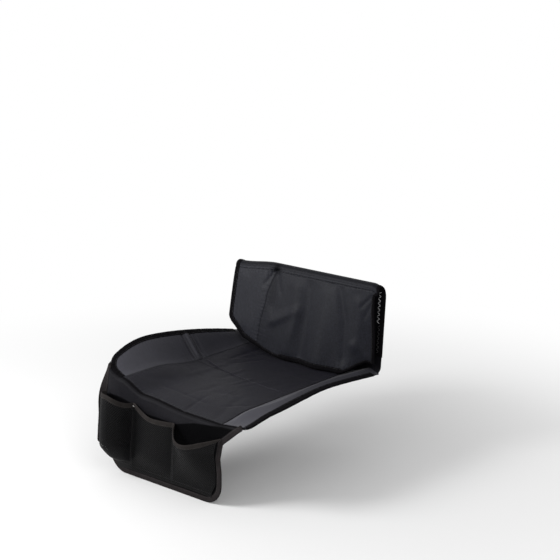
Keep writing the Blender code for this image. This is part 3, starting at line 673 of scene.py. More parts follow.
thread_look = ribbed_look("sewing_thread", THREAD, **spun)
pale_thread_look = ribbed_look("pale_thread", PALE_THREAD, **spun)
white_thread_look = ribbed_look("white_thread", WHITE_THREAD, **spun)
net_look, _, _ = new_look("pocket_net_yarn", NET, roughness=0.50, gloss=0.12, sheen=0.0)
print("materials:", len(bpy.data.materials))

# %% [markdown]
# ## The seat cloth
#
# The field lies flat, and the wings climb at its sides: high on the left, hardly at all on the
# right. One height function over the plan gives the three panels, so they meet at the seams. On
# top of it come the things that sewing and packing leave: the cloth is drawn down at each seam,
# small puckers stand beside it, and one packing crease crosses the whole mat.

# %% Heights of the seat cloth
LEFT_FRONT_RISE = 0.045
LEFT_PEAK_RISE = 0.088
LEFT_BACK_RISE = 0.030
LEFT_PEAK_AT = -0.100
LEFT_FALL_FRONT = 2.2
LEFT_FALL_BACK = 1.5
RIGHT_PEAK_RISE = 0.023
RIGHT_BACK_RISE = 0.012
RIGHT_PEAK_AT = 0.055
RIGHT_CREST = 0.013
SEAM_RISE_BACK = 0.008
SEAM_RISE_FRONT = 0.018
FRONT_DIP = 0.010
FOLD_MARK = 0.0030
FOLD_MARK_AT = 0.036


def hump(y, at, front, peak, back, power_front, power_back):
    """Height along an edge: a peak with a power-law fall to each end."""
    fore = np.clip((at - y) / (at - SEAT_FRONT), 0.0, None) ** power_front
    aft = np.clip((y - at) / (SEAT_BACK - at), 0.0, None) ** power_back
    return peak - (peak - front) * fore - (peak - back) * aft


def right_edge(y):
    """Plan line of the right edge, a little wider at the back."""
    return EDGE_RIGHT + EDGE_RIGHT_SPREAD * smooth(y / SEAT_BACK)


def front_line(x):
    """Plan line of the seat cloth's front edge, round its two corners."""
    left = np.clip(EDGE_LEFT + CORNER_LEFT - x, 0.0, CORNER_LEFT * 0.97)
    right = np.clip(x - EDGE_RIGHT + CORNER_RIGHT, 0.0, CORNER_RIGHT * 0.97)
    back = CORNER_LEFT - np.sqrt(CORNER_LEFT ** 2 - left ** 2)
    back = back + CORNER_RIGHT - np.sqrt(CORNER_RIGHT ** 2 - right ** 2)
    return SEAT_FRONT + back


def seat_height(x, y):
    """Height of the seat cloth's top over its flat middle: rise to the seams, wings, front dip."""
    lift = SEAM_RISE_BACK + SEAM_RISE_FRONT * smooth((0.02 - y) / 0.15)
    height = lift * smooth((-x - 0.09) / (-SEAM_LEFT - 0.09))
    height = height - FRONT_DIP * smooth((-0.14 - y) / 0.09) * smooth((x + 0.08) / 0.14)
    left = np.clip((SEAM_LEFT - x) / (SEAM_LEFT - EDGE_LEFT), 0.0, 1.15)
    crest = hump(y, LEFT_PEAK_AT, LEFT_FRONT_RISE, LEFT_PEAK_RISE, LEFT_BACK_RISE, LEFT_FALL_FRONT,
                 LEFT_FALL_BACK)
    climb = 0.45 * left + 0.55 * smooth(left)
    height = height + (crest - lift) * climb
    right = np.clip((x - SEAM_RIGHT) / (right_edge(y) - SEAM_RIGHT), 0.0, 1.15)
    fall = smooth((RIGHT_PEAK_AT - y) / 0.22)
    aft = np.clip((y - RIGHT_PEAK_AT) / (SEAT_BACK - RIGHT_PEAK_AT), 0.0, 1.0) ** 1.5
    rim = RIGHT_PEAK_RISE * (1.0 - fall) - (RIGHT_PEAK_RISE - RIGHT_BACK_RISE) * aft
    height = height + (rim + FRONT_DIP * fall) * right
    place = 0.25 + 0.45 * smooth((y - SEAT_FRONT) / 0.16)
    crest = np.clip(np.minimum(right / place, (1.0 - right) / (1.0 - place)), 0.0, 1.0)
    height = height + RIGHT_CREST * smooth((y - SEAT_FRONT) / 0.06) * smooth(crest * 0.85)
    mark = np.exp(-((y - FOLD_MARK_AT) / 0.008) ** 2)
    mark = mark - 0.6 * np.exp(-((y - FOLD_MARK_AT - 0.02) / 0.007) ** 2)
    return height + FOLD_MARK * mark * smooth(left * 2.5) * smooth((1.0 - left) * 3.0)


# %% Puckers and creases
def ridge(u, v, start, end, width, height):
    """Ridge along a line: height x exp(-(distance / width)^2), faded at both ends."""
    du, dv = end[0] - start[0], end[1] - start[1]
    long = np.hypot(du, dv)
    t = ((u - start[0]) * du + (v - start[1]) * dv) / long ** 2
    away = ((v - start[1]) * du - (u - start[0]) * dv) / long
    ends = smooth(t / 0.22) * smooth((1 - t) / 0.22)
    return height * np.exp(-(away / width) ** 2) * ends


def pucker(away, run, reach, size):
    """Small waves beside a seam: size x exp(-distance / reach) x two uneven sines of the run."""
    wave = np.sin(run * 520 + 2.2 * np.sin(run * 61)) + 0.7 * np.sin(run * 810 + 1.9 * np.sin(run * 83) + 1.0)
    return size * np.exp(-np.abs(away) / reach) * wave


def scattered(seed, count, box, long, width, height, lean):
    """Seeded soft wrinkles: start and end points, widths and heights inside a flat box."""
    rng = np.random.default_rng(seed)
    low, high = np.array(box[0]), np.array(box[1])
    middles = low + rng.random((count, 2)) * (high - low)
    angles = lean + rng.normal(0, 0.35, count)
    halves = long * (0.5 + rng.random(count)) / 2
    reach = np.stack([np.cos(angles), np.sin(angles)], axis=1) * halves[:, None]
    sizes = height * rng.choice([-1.0, 1.0], count) * (0.5 + rng.random(count))
    widths = width * (0.6 + 0.9 * rng.random(count))
    return [(tuple(m - r), tuple(m + r), w, h) for m, r, w, h in zip(middles, reach, widths, sizes)]


SEAT_WRINKLES = scattered(seed=11, count=18, box=((-0.15, -0.20), (0.15, 0.20)), long=0.12, width=0.008,
                          height=0.0009, lean=1.35)
SEAT_WRINKLES += scattered(seed=5, count=8, box=((-0.15, -0.18), (0.15, 0.18)), long=0.16, width=0.007,
                           height=0.0008, lean=0.1)
PACKING_CREASE = [((SEAM_LEFT, 0.046), (-0.073, 0.024), 0.0022, 0.0016),
                  ((-0.095, 0.029), (0.043, 0.004), 0.0020, 0.0014),
                  ((0.020, 0.007), (SEAM_RIGHT, -0.001), 0.0022, 0.0012),
                  ((SEAM_LEFT, 0.039), (0.060, -0.004), 0.0030, -0.0016),
                  ((SEAM_LEFT, 0.014), (-0.070, 0.020), 0.0026, -0.0010)]
WING_CREASES = [((-0.233, 0.012), (-0.170, 0.021), 0.0034, -0.0034),
                ((-0.233, 0.042), (-0.166, 0.048), 0.0038, -0.0038),
                ((-0.233, 0.027), (-0.172, 0.035), 0.0042, 0.0026)]
SEAM_DIP = 0.0020
SEAM_REACH = 0.0016
HEM_INSET = 0.012


def seat_detail(x, y):
    """Sum of seam dips, puckers, wrinkles and packing creases on the seat cloth."""
    total = -SEAM_DIP * np.exp(-np.abs(x - SEAM_LEFT) / SEAM_REACH)
    total = total - SEAM_DIP * np.exp(-np.abs(x - SEAM_RIGHT) / SEAM_REACH)
    total = total + pucker(x - SEAM_LEFT, y, 0.010, 0.00030) + pucker(x - SEAM_RIGHT, y, 0.010, 0.00026)
    total = total + pucker(y - SEAT_FRONT, x, 0.012, 0.00030)
    total = total + pucker(x - EDGE_LEFT - HEM_INSET, y, 0.008, 0.00030)
    total = total + pucker(x - right_edge(y) + HEM_INSET, y, 0.008, 0.00022)
    inside = smooth((x - SEAM_LEFT) / 0.02) * smooth((SEAM_RIGHT - x) / 0.02)
    for start, end, width, height in SEAT_WRINKLES:
        total = total + inside * ridge(x, y, start, end, width, height)
    for start, end, width, height in PACKING_CREASE + WING_CREASES:
        total = total + ridge(x, y, start, end, width, height)
    return total


def seat_painted_shading(flat):
    """Painted light and shade on the seat cloth: painted shade in the seams and sunken creases, painted
    highlight on raised creases, painted light towards the front.
    """
    x, y = flat[..., 0], flat[..., 1]
    # Painted shade in the two seam grooves.
    seam = np.exp(-((x - SEAM_LEFT) / 0.0014) ** 2) + np.exp(-((x - SEAM_RIGHT) / 0.0014) ** 2)
    near_front = smooth((0.10 - y) / 0.30)
    in_wing = smooth((SEAM_LEFT - x) / 0.004) + smooth((x - SEAM_RIGHT) / 0.004)
    # Painted light: brighter towards the front, and the wings darker towards the back.
    painted_light_gradient = 1.0 + in_wing * (0.55 * near_front - 0.18) + (1.0 - in_wing) * 0.15 * near_front
    crease_shading = np.zeros(x.shape)
    # Painted highlight on raised creases, painted shade in sunken ones.
    for start, end, width, height in PACKING_CREASE + WING_CREASES:
        crease_shading = crease_shading + ridge(x, y, start, end, width, np.sign(height) * 0.30)
    return painted_light_gradient * (1.0 - 0.65 * np.clip(seam, 0, 1)) * np.clip(1.0 + crease_shading, 0.5, 1.5)


def seat_top(x, y):
    """Top face of the seat cloth: thickness + height + detail over the plan."""
    return np.stack([x, y, SEAT_THICK + seat_height(x, y) + seat_detail(x, y)], axis=-1)


# %% Seat panels
CREASE_BACK, CREASE_FRONT = 0.062, -0.022
rows = np.concatenate([np.linspace(SEAT_BACK, CREASE_BACK, 70)[:-1],
                       np.linspace(CREASE_BACK, CREASE_FRONT, 85)[:-1],
                       np.linspace(CREASE_FRONT, SEAT_FRONT, 86)])
beside = np.array([0.0, 0.0007, 0.0014, 0.0022, 0.0032, 0.0046])
share = (SEAT_BACK - rows) / (SEAT_BACK - SEAT_FRONT)
shelf = np.concatenate([beside / 0.075, np.linspace(0.085, 1, 44)])
inner_left = flat_line(SEAM_LEFT - GAP / 2, rows)
inner_right = flat_line(SEAM_RIGHT + GAP / 2, rows)


def seat_panel(name, flat, look, replaced):
    made, area = cloth(name, flat, seat_top, SEAT_THICK, [look, grip_backing], painted_shading=seat_painted_shading(flat))
    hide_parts(replaced)
    return made, area


def wing_grid(inner, outer, corner_bow):
    """Flat grid of a wing between its seam, its outer edge and its front edge with the corner."""
    front = along(np.concatenate([[inner[-1]], corner_bow]), shelf)
    return patch(along([inner[0], outer[0]], shelf), front, inner, outer, shelf, share)


middle_x = np.linspace(SEAM_LEFT + 0.0068, SEAM_RIGHT - 0.0068, 138)
field_x = np.concatenate([SEAM_LEFT + GAP / 2 + beside, middle_x, (SEAM_RIGHT - GAP / 2 - beside)[::-1]])
field_flat = np.stack(np.meshgrid(field_x, rows), axis=-1)
field, _ = seat_panel("seat_field", field_flat, field_look, "seat_centre_panel")

centre = (EDGE_LEFT + CORNER_LEFT, SEAT_FRONT + CORNER_LEFT)
left_outer = along(np.concatenate([[[EDGE_LEFT, SEAT_BACK]], arc(centre, CORNER_LEFT, 180, 225)]), share)
left_flat = wing_grid(inner_left, left_outer, arc(centre, CORNER_LEFT, 270, 225))
wing_left, wing_left_area = seat_panel("seat_wing_left", left_flat, wing_look, "seat_side_panel_left")

centre = (EDGE_RIGHT - CORNER_RIGHT, SEAT_FRONT + CORNER_RIGHT)
side_y = np.linspace(SEAT_BACK, SEAT_FRONT + CORNER_RIGHT, 60)
side_line = flat_line(right_edge(side_y), side_y)
right_outer = along(np.concatenate([side_line, arc(centre, CORNER_RIGHT, 0, -45)[1:]]), share)
right_flat = wing_grid(inner_right, right_outer, arc(centre, CORNER_RIGHT, -90, -45))
wing_right, wing_right_area = seat_panel("seat_wing_right", right_flat, wing_look, "seat_side_panel_right")

# %% Tapes of the seat cloth
left_path = np.concatenate([left_outer[8:-1], left_flat[-1, ::-1][:-4]])
tape_left = folded_tape("seat_tape_left", seat_top, left_path, edge_look, TAPE_WIDTH, SEAT_THICK, hand=1)
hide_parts("seat_edge_tape_left")
right_path = right_outer[8:]
tape_right = folded_tape("seat_tape_right", seat_top, right_path, edge_look, TAPE_WIDTH, SEAT_THICK, hand=-1)
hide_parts("seat_edge_tape_right")
piping_x = np.linspace(SEAM_LEFT - 0.003, EDGE_RIGHT - 0.006, 240)
piping_path = flat_line(piping_x, front_line(piping_x))
piping = folded_tape("front_seam_tape", seat_top, piping_path, edge_look, PIPING_WIDTH, SEAT_THICK, hand=1)
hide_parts("front_seam_piping")

# %% Seams of the seat cloth
TAPE_GROOVE = TAPE_CLEAR + 0.6 * TAPE_THICK
STITCH_DEPTH = 0.8 * TAPE_WIDTH
SEAM_BESIDE = 0.0030
THREAD_RISE = 0.0002
seam_y = np.array([SEAT_BACK - 0.03, SEAT_FRONT + 0.004])
seat_runs = [seam_run(seat_top, flat_line(x, seam_y), THREAD_RISE)
             for seam in (SEAM_LEFT, SEAM_RIGHT) for x in (seam - SEAM_BESIDE, seam + SEAM_BESIDE)]
front_x = np.array([SEAM_LEFT + 0.004, SEAM_RIGHT - 0.004])
seat_runs.append(seam_run(seat_top, flat_line(front_x, SEAT_FRONT + 0.0075), THREAD_RISE))
seat_runs.append(seam_run(seat_top, inset(seat_top, left_path, 1, 1, STITCH_DEPTH), TAPE_GROOVE))
seat_runs.append(seam_run(seat_top, inset(seat_top, right_path, 1, -1, STITCH_DEPTH), TAPE_GROOVE))
seat_thread = stitches("seat_stitches", *joined(seat_runs), thread_look)
print("stitches on the seat:", sum(len(run[0]) for run in seat_runs))

# %% [markdown]
# ## The front flap
#
# The flap rolls over at the front seam and hangs. Its left side is drawn round the left pocket,
# so it is a plain hanging sheet that is bent about an upright line, without any stretch. The two
# top corners run out as ears towards the wings.

# %% Flap surface
FLAP_BOTTOM = -0.198
FLAP_CORNER = 0.048
FLAP_EAR_TIP = -0.048
FLAP_EDGE_LEFT = -0.211
FLAP_FOOT_LEFT = -0.184
FLAP_FOOT_RIGHT = 0.171
FLAP_SPREAD = 0.005
FLAP_ROLL = 0.009
FLAP_GAP = 0.0016
LEAN_LEFT = 0.022
LEAN_RIGHT = 0.004
CURL_TURN = 1.60
CURL_FROM = -0.146
CURL_SPAN = 0.065
CURL_DROP = 0.105


def flap_shape(x, z):
    """Hanging face: y = front edge - roll - lean, bent about an upright line at the left."""
    top = SEAT_THICK + seat_height(x, front_line(x))
    drop = np.clip(top - z, 0.0, None)
    roll = np.sqrt(np.clip(FLAP_ROLL ** 2 - np.clip(FLAP_ROLL - drop, 0.0, None) ** 2, 0.0, None))
    share = np.clip(0.5 - x / 0.36, 0.0, 1.0)
    lean = (LEAN_RIGHT + (LEAN_LEFT - LEAN_RIGHT) * share) * smooth(drop / 0.20)
    reach = np.clip(CURL_FROM - x, 0.0, None)
    bend = CURL_TURN / CURL_SPAN * smooth(drop / CURL_DROP) * smooth((z + 0.185) / 0.09) + 1e-4
    across = np.minimum(x, CURL_FROM) + reach - np.sin(bend * reach) / bend + np.maximum(x - CURL_FROM, 0.0)
    curl = (1.0 - np.cos(bend * reach)) / bend
    return np.stack([across, front_line(x) - FLAP_GAP - roll - lean - curl, z], axis=-1)


def flap_left(z):
    """Flat line of the flap's left edge above its rounded foot."""
    places = [FLAP_FOOT_LEFT, -0.205, FLAP_EDGE_LEFT, -0.215]
    return np.interp(z, [-0.150, -0.120, FLAP_EAR_TIP, -0.004], places) - FLAP_SPREAD


def flap_right(z):
    """Flat line of the flap's right edge above its rounded foot."""
    return np.interp(z, [-0.120, -0.075, FLAP_EAR_TIP, 0.0], [FLAP_FOOT_RIGHT, 0.165, 0.174, 0.228])


def flap_face(x, z):
    """Flap with small waves under the front seam and a little slackness in its upper band."""
    shape = flap_shape(x, z)
    calm = smooth((z + 0.14) / 0.06) * smooth((-0.010 - z) / 0.02)
    wave = 0.0007 * np.sin(x * 75 + 1.2) * smooth((-0.010 - z) / 0.03) * smooth((z + 0.06) / 0.04)
    wave = wave + 0.00025 * np.sin(x * 480 + 2 * np.sin(x * 55)) * np.exp(-np.abs(z + 0.006) / 0.010) * calm
    return shape + np.stack([0 * x, -wave, 0 * x], axis=-1)


# Line over the flap below which painted shade stands for the shade inside the pockets.
POCKET_SHADE_LINE = ((-0.235, -0.004), (-0.190, -0.010), (-0.130, -0.022), (-0.110, -0.036), (0.024, -0.037),
               (0.085, -0.019), (0.171, -0.007), (0.235, -0.001))


def flap_painted_shading(flat):
    """Painted shade on the flap: dark behind the pockets, where they shade it, and in the roll under the
    front seam.
    """
    x, z = flat[..., 0], flat[..., 1]
    # Painted shade below the line behind the pockets, and in the roll under the front seam.
    edge = np.interp(x, [point[0] for point in POCKET_SHADE_LINE], [point[1] for point in POCKET_SHADE_LINE])
    drop = SEAT_THICK + seat_height(x, front_line(x)) - z
    return (0.15 + 0.85 * smooth((z - edge) / 0.003 + 0.5)) * (1.0 - 0.5 * np.exp(-np.abs(drop) / 0.006))


# %% Flap panel and its tape
TOP_LEFT, TOP_RIGHT = -0.2265, 0.2345
top_x = np.linspace(TOP_LEFT, TOP_RIGHT, 240)
top_line = flat_line(top_x, SEAT_THICK + seat_height(top_x, front_line(top_x)) - 0.0002)
foot_left = (FLAP_FOOT_LEFT + FLAP_CORNER, FLAP_BOTTOM + FLAP_CORNER)
foot_right = (FLAP_FOOT_RIGHT - FLAP_CORNER, FLAP_BOTTOM + FLAP_CORNER)
side_z = np.array([-0.004, FLAP_EAR_TIP, -0.085, -0.120])
left_line = np.concatenate([[top_line[0]], flat_line(flap_left(side_z), side_z),
                            arc(foot_left, FLAP_CORNER, 180, 225)])
right_line = np.concatenate([[top_line[-1]], flat_line(flap_right(side_z), side_z)[1:],
                             arc(foot_right, FLAP_CORNER, 0, -45)])
bottom_line = np.concatenate([arc(foot_left, FLAP_CORNER, 225, 270), arc(foot_right, FLAP_CORNER, -90, -45)])
across = np.linspace(0, 1, 190)
down = np.linspace(0, 1, 100)
flap_flat = patch(along(top_line, across), along(bottom_line, across), along(left_line, down),
                  along(right_line, down), across, down)
flap, flap_area = cloth("front_flap", flap_flat, flap_face, FLAP_THICK, [flap_look, flap_look],
                        painted_shading=flap_painted_shading(flap_flat))
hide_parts("front_flap_panel")
edge_path = np.concatenate([flap_flat[2:-1, 0], flap_flat[-1, :-1], flap_flat[::-1, -1][:-2]])
flap_tape = folded_tape("front_flap_tape", flap_face, edge_path, flap_edge_look, TAPE_WIDTH, FLAP_THICK,
                        hand=1)
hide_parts("front_flap_edge_tape")
flap_run = seam_run(flap_face, inset(flap_face, edge_path, 1, 1, STITCH_DEPTH), TAPE_GROOVE)
flap_thread = stitches("flap_stitches", *flap_run, thread_look)
print("stitches on the flap:", len(flap_run[0]))

# %% [markdown]
# ## The pockets
#
# One net is sewn to the flap at two dividers. The left pocket stands out as round as a drum, the
# middle one is nearly flat and the right one gapes. The net itself is knitted: a lattice of
# diamonds. Each one is a ring of faces round a hole, so the light really passes through, which a
# transparent material would only pretend.

# %% Pocket surface
POCKET_BOTTOM = -0.176
POCKET_INSET_LEFT = 0.0190
POCKET_INSET_RIGHT = 0.0140
POCKET_INSET_FOOT = 0.012
DIVIDER_LEFT = -0.115
DIVIDER_RIGHT = 0.020
DIVIDER_WIDTH = 0.008
STAND_RIM = 0.0034
STAND_FOOT = 0.0021
STAND_LEFT = 0.0012
BULGE_LEFT = 0.088
BULGE_MIDDLE = 0.014
BULGE_RIGHT = 0.046
RIM_LEFT = -0.004
RIM_MIDDLE = -0.020
RIM_RIGHT = -0.036
RIM_SAG = 0.022


def bezier(t, start, start_pull, end_pull, end):
    """Cubic Bezier: (1 - t)^3 a + 3 t (1 - t)^2 b + 3 t^2 (1 - t) c + t^3 d."""
    near_start = (1 - t) ** 3 * start + 3 * t * (1 - t) ** 2 * start_pull
    return near_start + 3 * t * t * (1 - t) * end_pull + t ** 3 * end


def pocket_shape(column, z):
    """Net wall: column 0..1 left pocket by a cubic Bezier, 2..3 middle, 4..5 right, strips between."""
    foot = POCKET_BOTTOM + 0.030
    taper = POCKET_INSET_FOOT * smooth((foot - z) / 0.03)
    left_end = flap_left(z) + POCKET_INSET_LEFT + taper
    right_end = flap_right(z) - POCKET_INSET_RIGHT - 0.002 * smooth((z + 0.065) / 0.02) - taper
    half = DIVIDER_WIDTH / 2
    marks = [left_end, DIVIDER_LEFT - half + 0 * z, DIVIDER_LEFT + half + 0 * z,
             DIVIDER_RIGHT - half + 0 * z, DIVIDER_RIGHT + half + 0 * z, right_end]
    block = np.clip(np.floor(column), 0, 4).astype(int)
    start = np.choose(block, marks[:5])
    end = np.choose(block, marks[1:])
    t = column - block
    x = start + (end - start) * t
    stand = STAND_RIM + (STAND_FOOT - STAND_RIM) * smooth((-0.06 - z) / 0.03)
    base_a = flap_shape(start, z)
    base_b = flap_shape(end, z)
    slope = unit(flap_shape(start + 0.0005, z) - flap_shape(start - 0.0005, z))
    rise = np.clip((z - POCKET_BOTTOM - 0.012) / 0.055, 0.0, 1.0)
    fill = np.sqrt(1.0 - (1.0 - rise) ** 2.2)
    ax = base_a[..., 0] + (stand + STAND_LEFT) * slope[..., 1]
    ay = base_a[..., 1] - (stand + STAND_LEFT) * slope[..., 0]
    bx = base_b[..., 0]
    by = base_b[..., 1] - stand
    x1 = ax + (bx - ax) / 3 * (1 - fill) - fill * 0.003
    x2 = ax + (bx - ax) * 2 / 3 * (1 - fill) + fill * (bx - ax + 0.002)
    y1 = ay + (by - ay) / 3 * (1 - fill) - fill * BULGE_LEFT / 2
    y2 = (1 - fill) * (ay + (by - ay) * 2 / 3) + fill * (by - BULGE_LEFT)
    round_x = bezier(t, ax, x1, x2, bx)
    round_y = bezier(t, ay, y1, y2, by)
    plain = flap_shape(x, z)[..., 1] - stand
    soft_out = BULGE_MIDDLE * smooth((z - POCKET_BOTTOM) / 0.05) * np.sin(np.pi * t) ** 0.7
    gape = BULGE_RIGHT * smooth((z - POCKET_BOTTOM) / 0.13) * np.sin(np.pi * t) ** 0.8
    extra = np.where(block == 2, soft_out, 0.0) + np.where(block == 4, gape, 0.0)
    px = np.where(block == 0, round_x, x)
    py = np.where(block == 0, round_y, plain - extra)
    return np.stack([px, py, z], axis=-1)


def rim_height(column):
    """Height of the pockets' top edge along the wall."""
    block = np.clip(np.floor(column), 0, 4).astype(int)
    t = np.clip(column - block, 0, 1)
    left = RIM_LEFT + 0.010 * np.sin(np.pi * t) + (RIM_MIDDLE - RIM_LEFT) * smooth((t - 0.55) / 0.45)
    middle = RIM_MIDDLE + (RIM_RIGHT - RIM_MIDDLE) * smooth(t / 0.6)
    right = RIM_RIGHT - RIM_SAG * np.sin(np.pi * t ** 0.9) ** 0.9 + 0.002 * t
    return np.choose(block, [left, RIM_MIDDLE + 0 * t, middle, RIM_RIGHT + 0 * t, right])


def pocket_wall(column, fall):
    """Net wall by column and fall, where fall runs from 0 at the rim to 1 at the foot."""
    column = np.clip(column, 0.0, 5.0 - 1e-9)
    rim = rim_height(column)
    return pocket_shape(column, rim + (POCKET_BOTTOM - rim) * fall)


def even_columns(first, last, count):
    """Columns at equal distances along the wall at half height."""
    fine = np.linspace(first, last, 3000)
    length = run_length(pocket_wall(fine, 0 * fine + 0.45))
    return np.interp(np.linspace(0, length[-1], count), length, fine), length[-1]


# %% Net of diamonds
NET_HOLE = 0.66
NET_GATHER = 0.42
NET_HALF = 0.0026
NET_DROP = 0.150
NET_FOOT = 1.05


def net(name, first, last):
    """Lattice: points where row + column is even, a holed diamond round each odd point.

    The holes are smaller towards the left pocket's foot, where the net is gathered.
    """
    _, wide = even_columns(first, last, 2)
    columns = 2 * int(wide / NET_HALF / 2)
    rows_down = 2 * int(NET_DROP / NET_HALF / 2)
    places, _ = even_columns(first, last, columns + 1)
    c, f = np.meshgrid(places, np.linspace(0.0, NET_FOOT, rows_down + 1))
    face = pocket_wall(c, f)
    pad = np.pad(face, ((1, 1), (1, 1), (0, 0)), mode="edge")
    normal = unit(np.cross(pad[2:, 1:-1] - pad[:-2, 1:-1], pad[1:-1, 2:] - pad[1:-1, :-2]))
    n = np.arange(c.size).reshape(c.shape)
    i, j = np.meshgrid(np.arange(1, rows_down), np.arange(1, columns), indexing="ij")
    odd = (i + j) % 2 == 1
    i, j = i[odd], j[odd]
    ring = np.stack([n[i, j - 1], n[i + 1, j], n[i, j + 1], n[i - 1, j]], axis=1)
    flat_face, flat_normal = face.reshape(-1, 3), normal.reshape(-1, 3)
    middle = flat_face[n[i, j]]
    gathered = smooth((f[i, j] - 0.62) / 0.22) * (c[i, j] < 1.0)
    open_share = (NET_HOLE - NET_GATHER * gathered)[:, None, None]
    holes = middle[:, None] + open_share * (flat_face[ring] - middle[:, None])
    turned = np.repeat(flat_normal[n[i, j]][:, None], 4, axis=1)
    front = np.concatenate([flat_face, holes.reshape(-1, 3)])
    back = front - NET_THICK * np.concatenate([flat_normal, turned.reshape(-1, 3)])
    hole = c.size + np.arange(len(i) * 4).reshape(-1, 4)
    nxt = np.roll(ring, -1, axis=1)
    hole_nxt = np.roll(hole, -1, axis=1)
    web = np.stack([ring, nxt, hole_nxt, hole], axis=-1).reshape(-1, 4)
    size = len(front)
    inside = np.stack([hole, hole_nxt, hole_nxt + size, hole + size], axis=-1).reshape(-1, 4)
    k = np.arange(1, columns, 2)
    top = np.stack([n[0, k - 1], n[1, k], n[0, k + 1]], axis=1)
    low = np.stack([n[-1, k + 1], n[-2, k], n[-1, k - 1]], axis=1)
    r = np.arange(1, rows_down, 2)
    left = np.stack([n[r + 1, 0], n[r, 1], n[r - 1, 0]], axis=1)
    right = np.stack([n[r - 1, -1], n[r, -2], n[r + 1, -1]], axis=1)
    half = np.concatenate([top, low, left, right])
    border = half[:, [0, 2]]
    rim = np.stack([border[:, 0], border[:, 1], border[:, 1] + size, border[:, 0] + size], axis=1)
    groups = (web, web[:, ::-1] + size, inside, half, half[:, ::-1] + size, rim)
    uv = np.concatenate([front[:, [0, 2]], front[:, [0, 2]]])
    made = piece(name, np.concatenate([front, back]), groups, uv, [net_look], sharp=35.0)
    corner, beside, below = front[web[:, 0]], front[web[:, 1]], front[web[:, 3]]
    yarn = np.linalg.norm(np.cross(beside - corner, below - corner), axis=1)
    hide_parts("pocket_mesh")
    print(name, "has", len(i), "holes in", round(wide, 3), "m, yarn area", round(float(yarn.sum()), 4))
    return made, wide, float(yarn.sum())


nets = [net("pocket_net_left", 0.0, 1.5), net("pocket_net_middle", 1.5, 3.5),
        net("pocket_net_right", 3.5, 5.0)]

# %% Tape along the pockets' rim
rim_columns, _ = even_columns(0.0, 4.9999, 900)
rim_path = flat_line(rim_columns, 0.0)
rim_tape = folded_tape("pocket_rim_binding", pocket_wall, rim_path, rim_look, RIM_WIDTH, NET_THICK,
                       side=-1, hand=-1, wobble=0.08)
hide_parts("pocket_rim_tape")

# %% Seams of the pockets
FOOT_SEAM = 0.985
NET_THREAD_RISE = 0.0003
falls = np.array([0.07, 0.97])
pocket_runs = [seam_run(pocket_wall, flat_line(column, falls), NET_THREAD_RISE, side=-1)
               for column in (1.2, 1.8, 3.2, 3.8)]
foot_columns = np.linspace(0.02, 4.98, 300)
pocket_runs.append(seam_run(pocket_wall, flat_line(foot_columns, FOOT_SEAM), NET_THREAD_RISE, side=-1))
rim_line = inset(pocket_wall, rim_path[4:-4], -1, -1, 0.8 * RIM_WIDTH)
pocket_runs.append(seam_run(pocket_wall, rim_line, TAPE_GROOVE, side=-1))
stitches("pocket_stitches", *joined(pocket_runs), thread_look)
tack_line = np.array([[1.25, 0.030], [1.70, 0.045]])
tack_run = seam_run(pocket_wall, tack_line, lift=0.0013, pitch=0.0007, side=-1, zigzag=0.0011)
stitches("bar_tack", *tack_run, white_thread_look, length=0.0024, radius=0.0004)
print("stitches on the pockets:", sum(len(run[0]) for run in pocket_runs))

# %% [markdown]
# ## The back cloth
#
# One sheet bends up from the seat, stands as the rear layer, turns over at the top and hangs
# back down as the front layer, so that what faces us is its reverse. A hem is stitched below
# the fold, an upright seam pulls a dimple into it, and the hem rises at the lower right corner.

# %% Back surface
BACK_BEND = 0.012
LENGTH_BEND = BACK_BEND * np.pi / 2
LENGTH_REAR = 0.205
REAR_LEAN = 0.014
FOLD_TOP = 0.237
FOLD_DROP = 0.012
FOLD_RADIUS = 0.011
LENGTH_FOLD = FOLD_RADIUS * np.pi
LENGTH_FRONT = 0.224
FRONT_START = LENGTH_BEND + LENGTH_REAR + LENGTH_FOLD
LENGTH_BACK = FRONT_START + LENGTH_FRONT
FRONT_FOOT = 0.189
FRONT_FOOT_SIDE = 0.018
HEM_HEIGHT = 0.0050
SEAM_VALLEY = 0.005
WAVE = 0.004
WAVE_PERIOD = 0.122
BACK_LEFT = -0.237
BACK_RIGHT = 0.246
BACK_CORNER = 0.026
BACK_SEAM = ((-0.091, -0.004), (-0.098, 0.020), (-0.109, 0.065), (-0.1115, 0.100), (-0.118, 0.140),
             (-0.121, 0.215))
HEM_LINE = 0.0055
DIMPLE = (-0.089, 0.004)
BACK_FOLDS = [(((-0.012, 0.020), (0.000, 0.100), (0.002, 0.215)), 0.0190, -0.0030),
              (((0.024, 0.012), (0.034, 0.078), (0.036, 0.217)), 0.0160, 0.0022),
              (((0.126, 0.010), (0.156, 0.090), (0.166, 0.200)), 0.0120, 0.0036),
              (((0.186, 0.030), (0.198, 0.090), (0.200, 0.170)), 0.0120, -0.0030),
              (((-0.200, 0.020), (-0.188, 0.180)), 0.0200, -0.0020),
              (((0.085, 0.020), (0.090, 0.215)), 0.0200, -0.0015),
              (((-0.086, 0.004), (-0.084, 0.110)), 0.0130, 0.0030)]
BACK_CREASES = [((0.030, 0.078), (-0.098, 0.148), 0.0130, -0.0034),
                ((0.014, 0.080), (-0.026, 0.235), 0.0120, -0.0026),
                ((0.236, 0.010), (0.190, 0.062), 0.0060, 0.0016),
                ((0.238, 0.014), (0.205, 0.095), 0.0060, 0.0015),
                ((0.180, 0.138), (0.238, 0.214), 0.0120, -0.0022),
                ((-0.088, 0.000), (-0.056, 0.070), 0.0070, 0.0018),
                ((-0.092, 0.000), (-0.130, 0.055), 0.0070, 0.0016)]
REAR_WRINKLES = scattered(seed=23, count=12, box=((-0.20, 0.05), (0.20, 0.18)), long=0.14, width=0.016,
                          height=0.0013, lean=1.4)
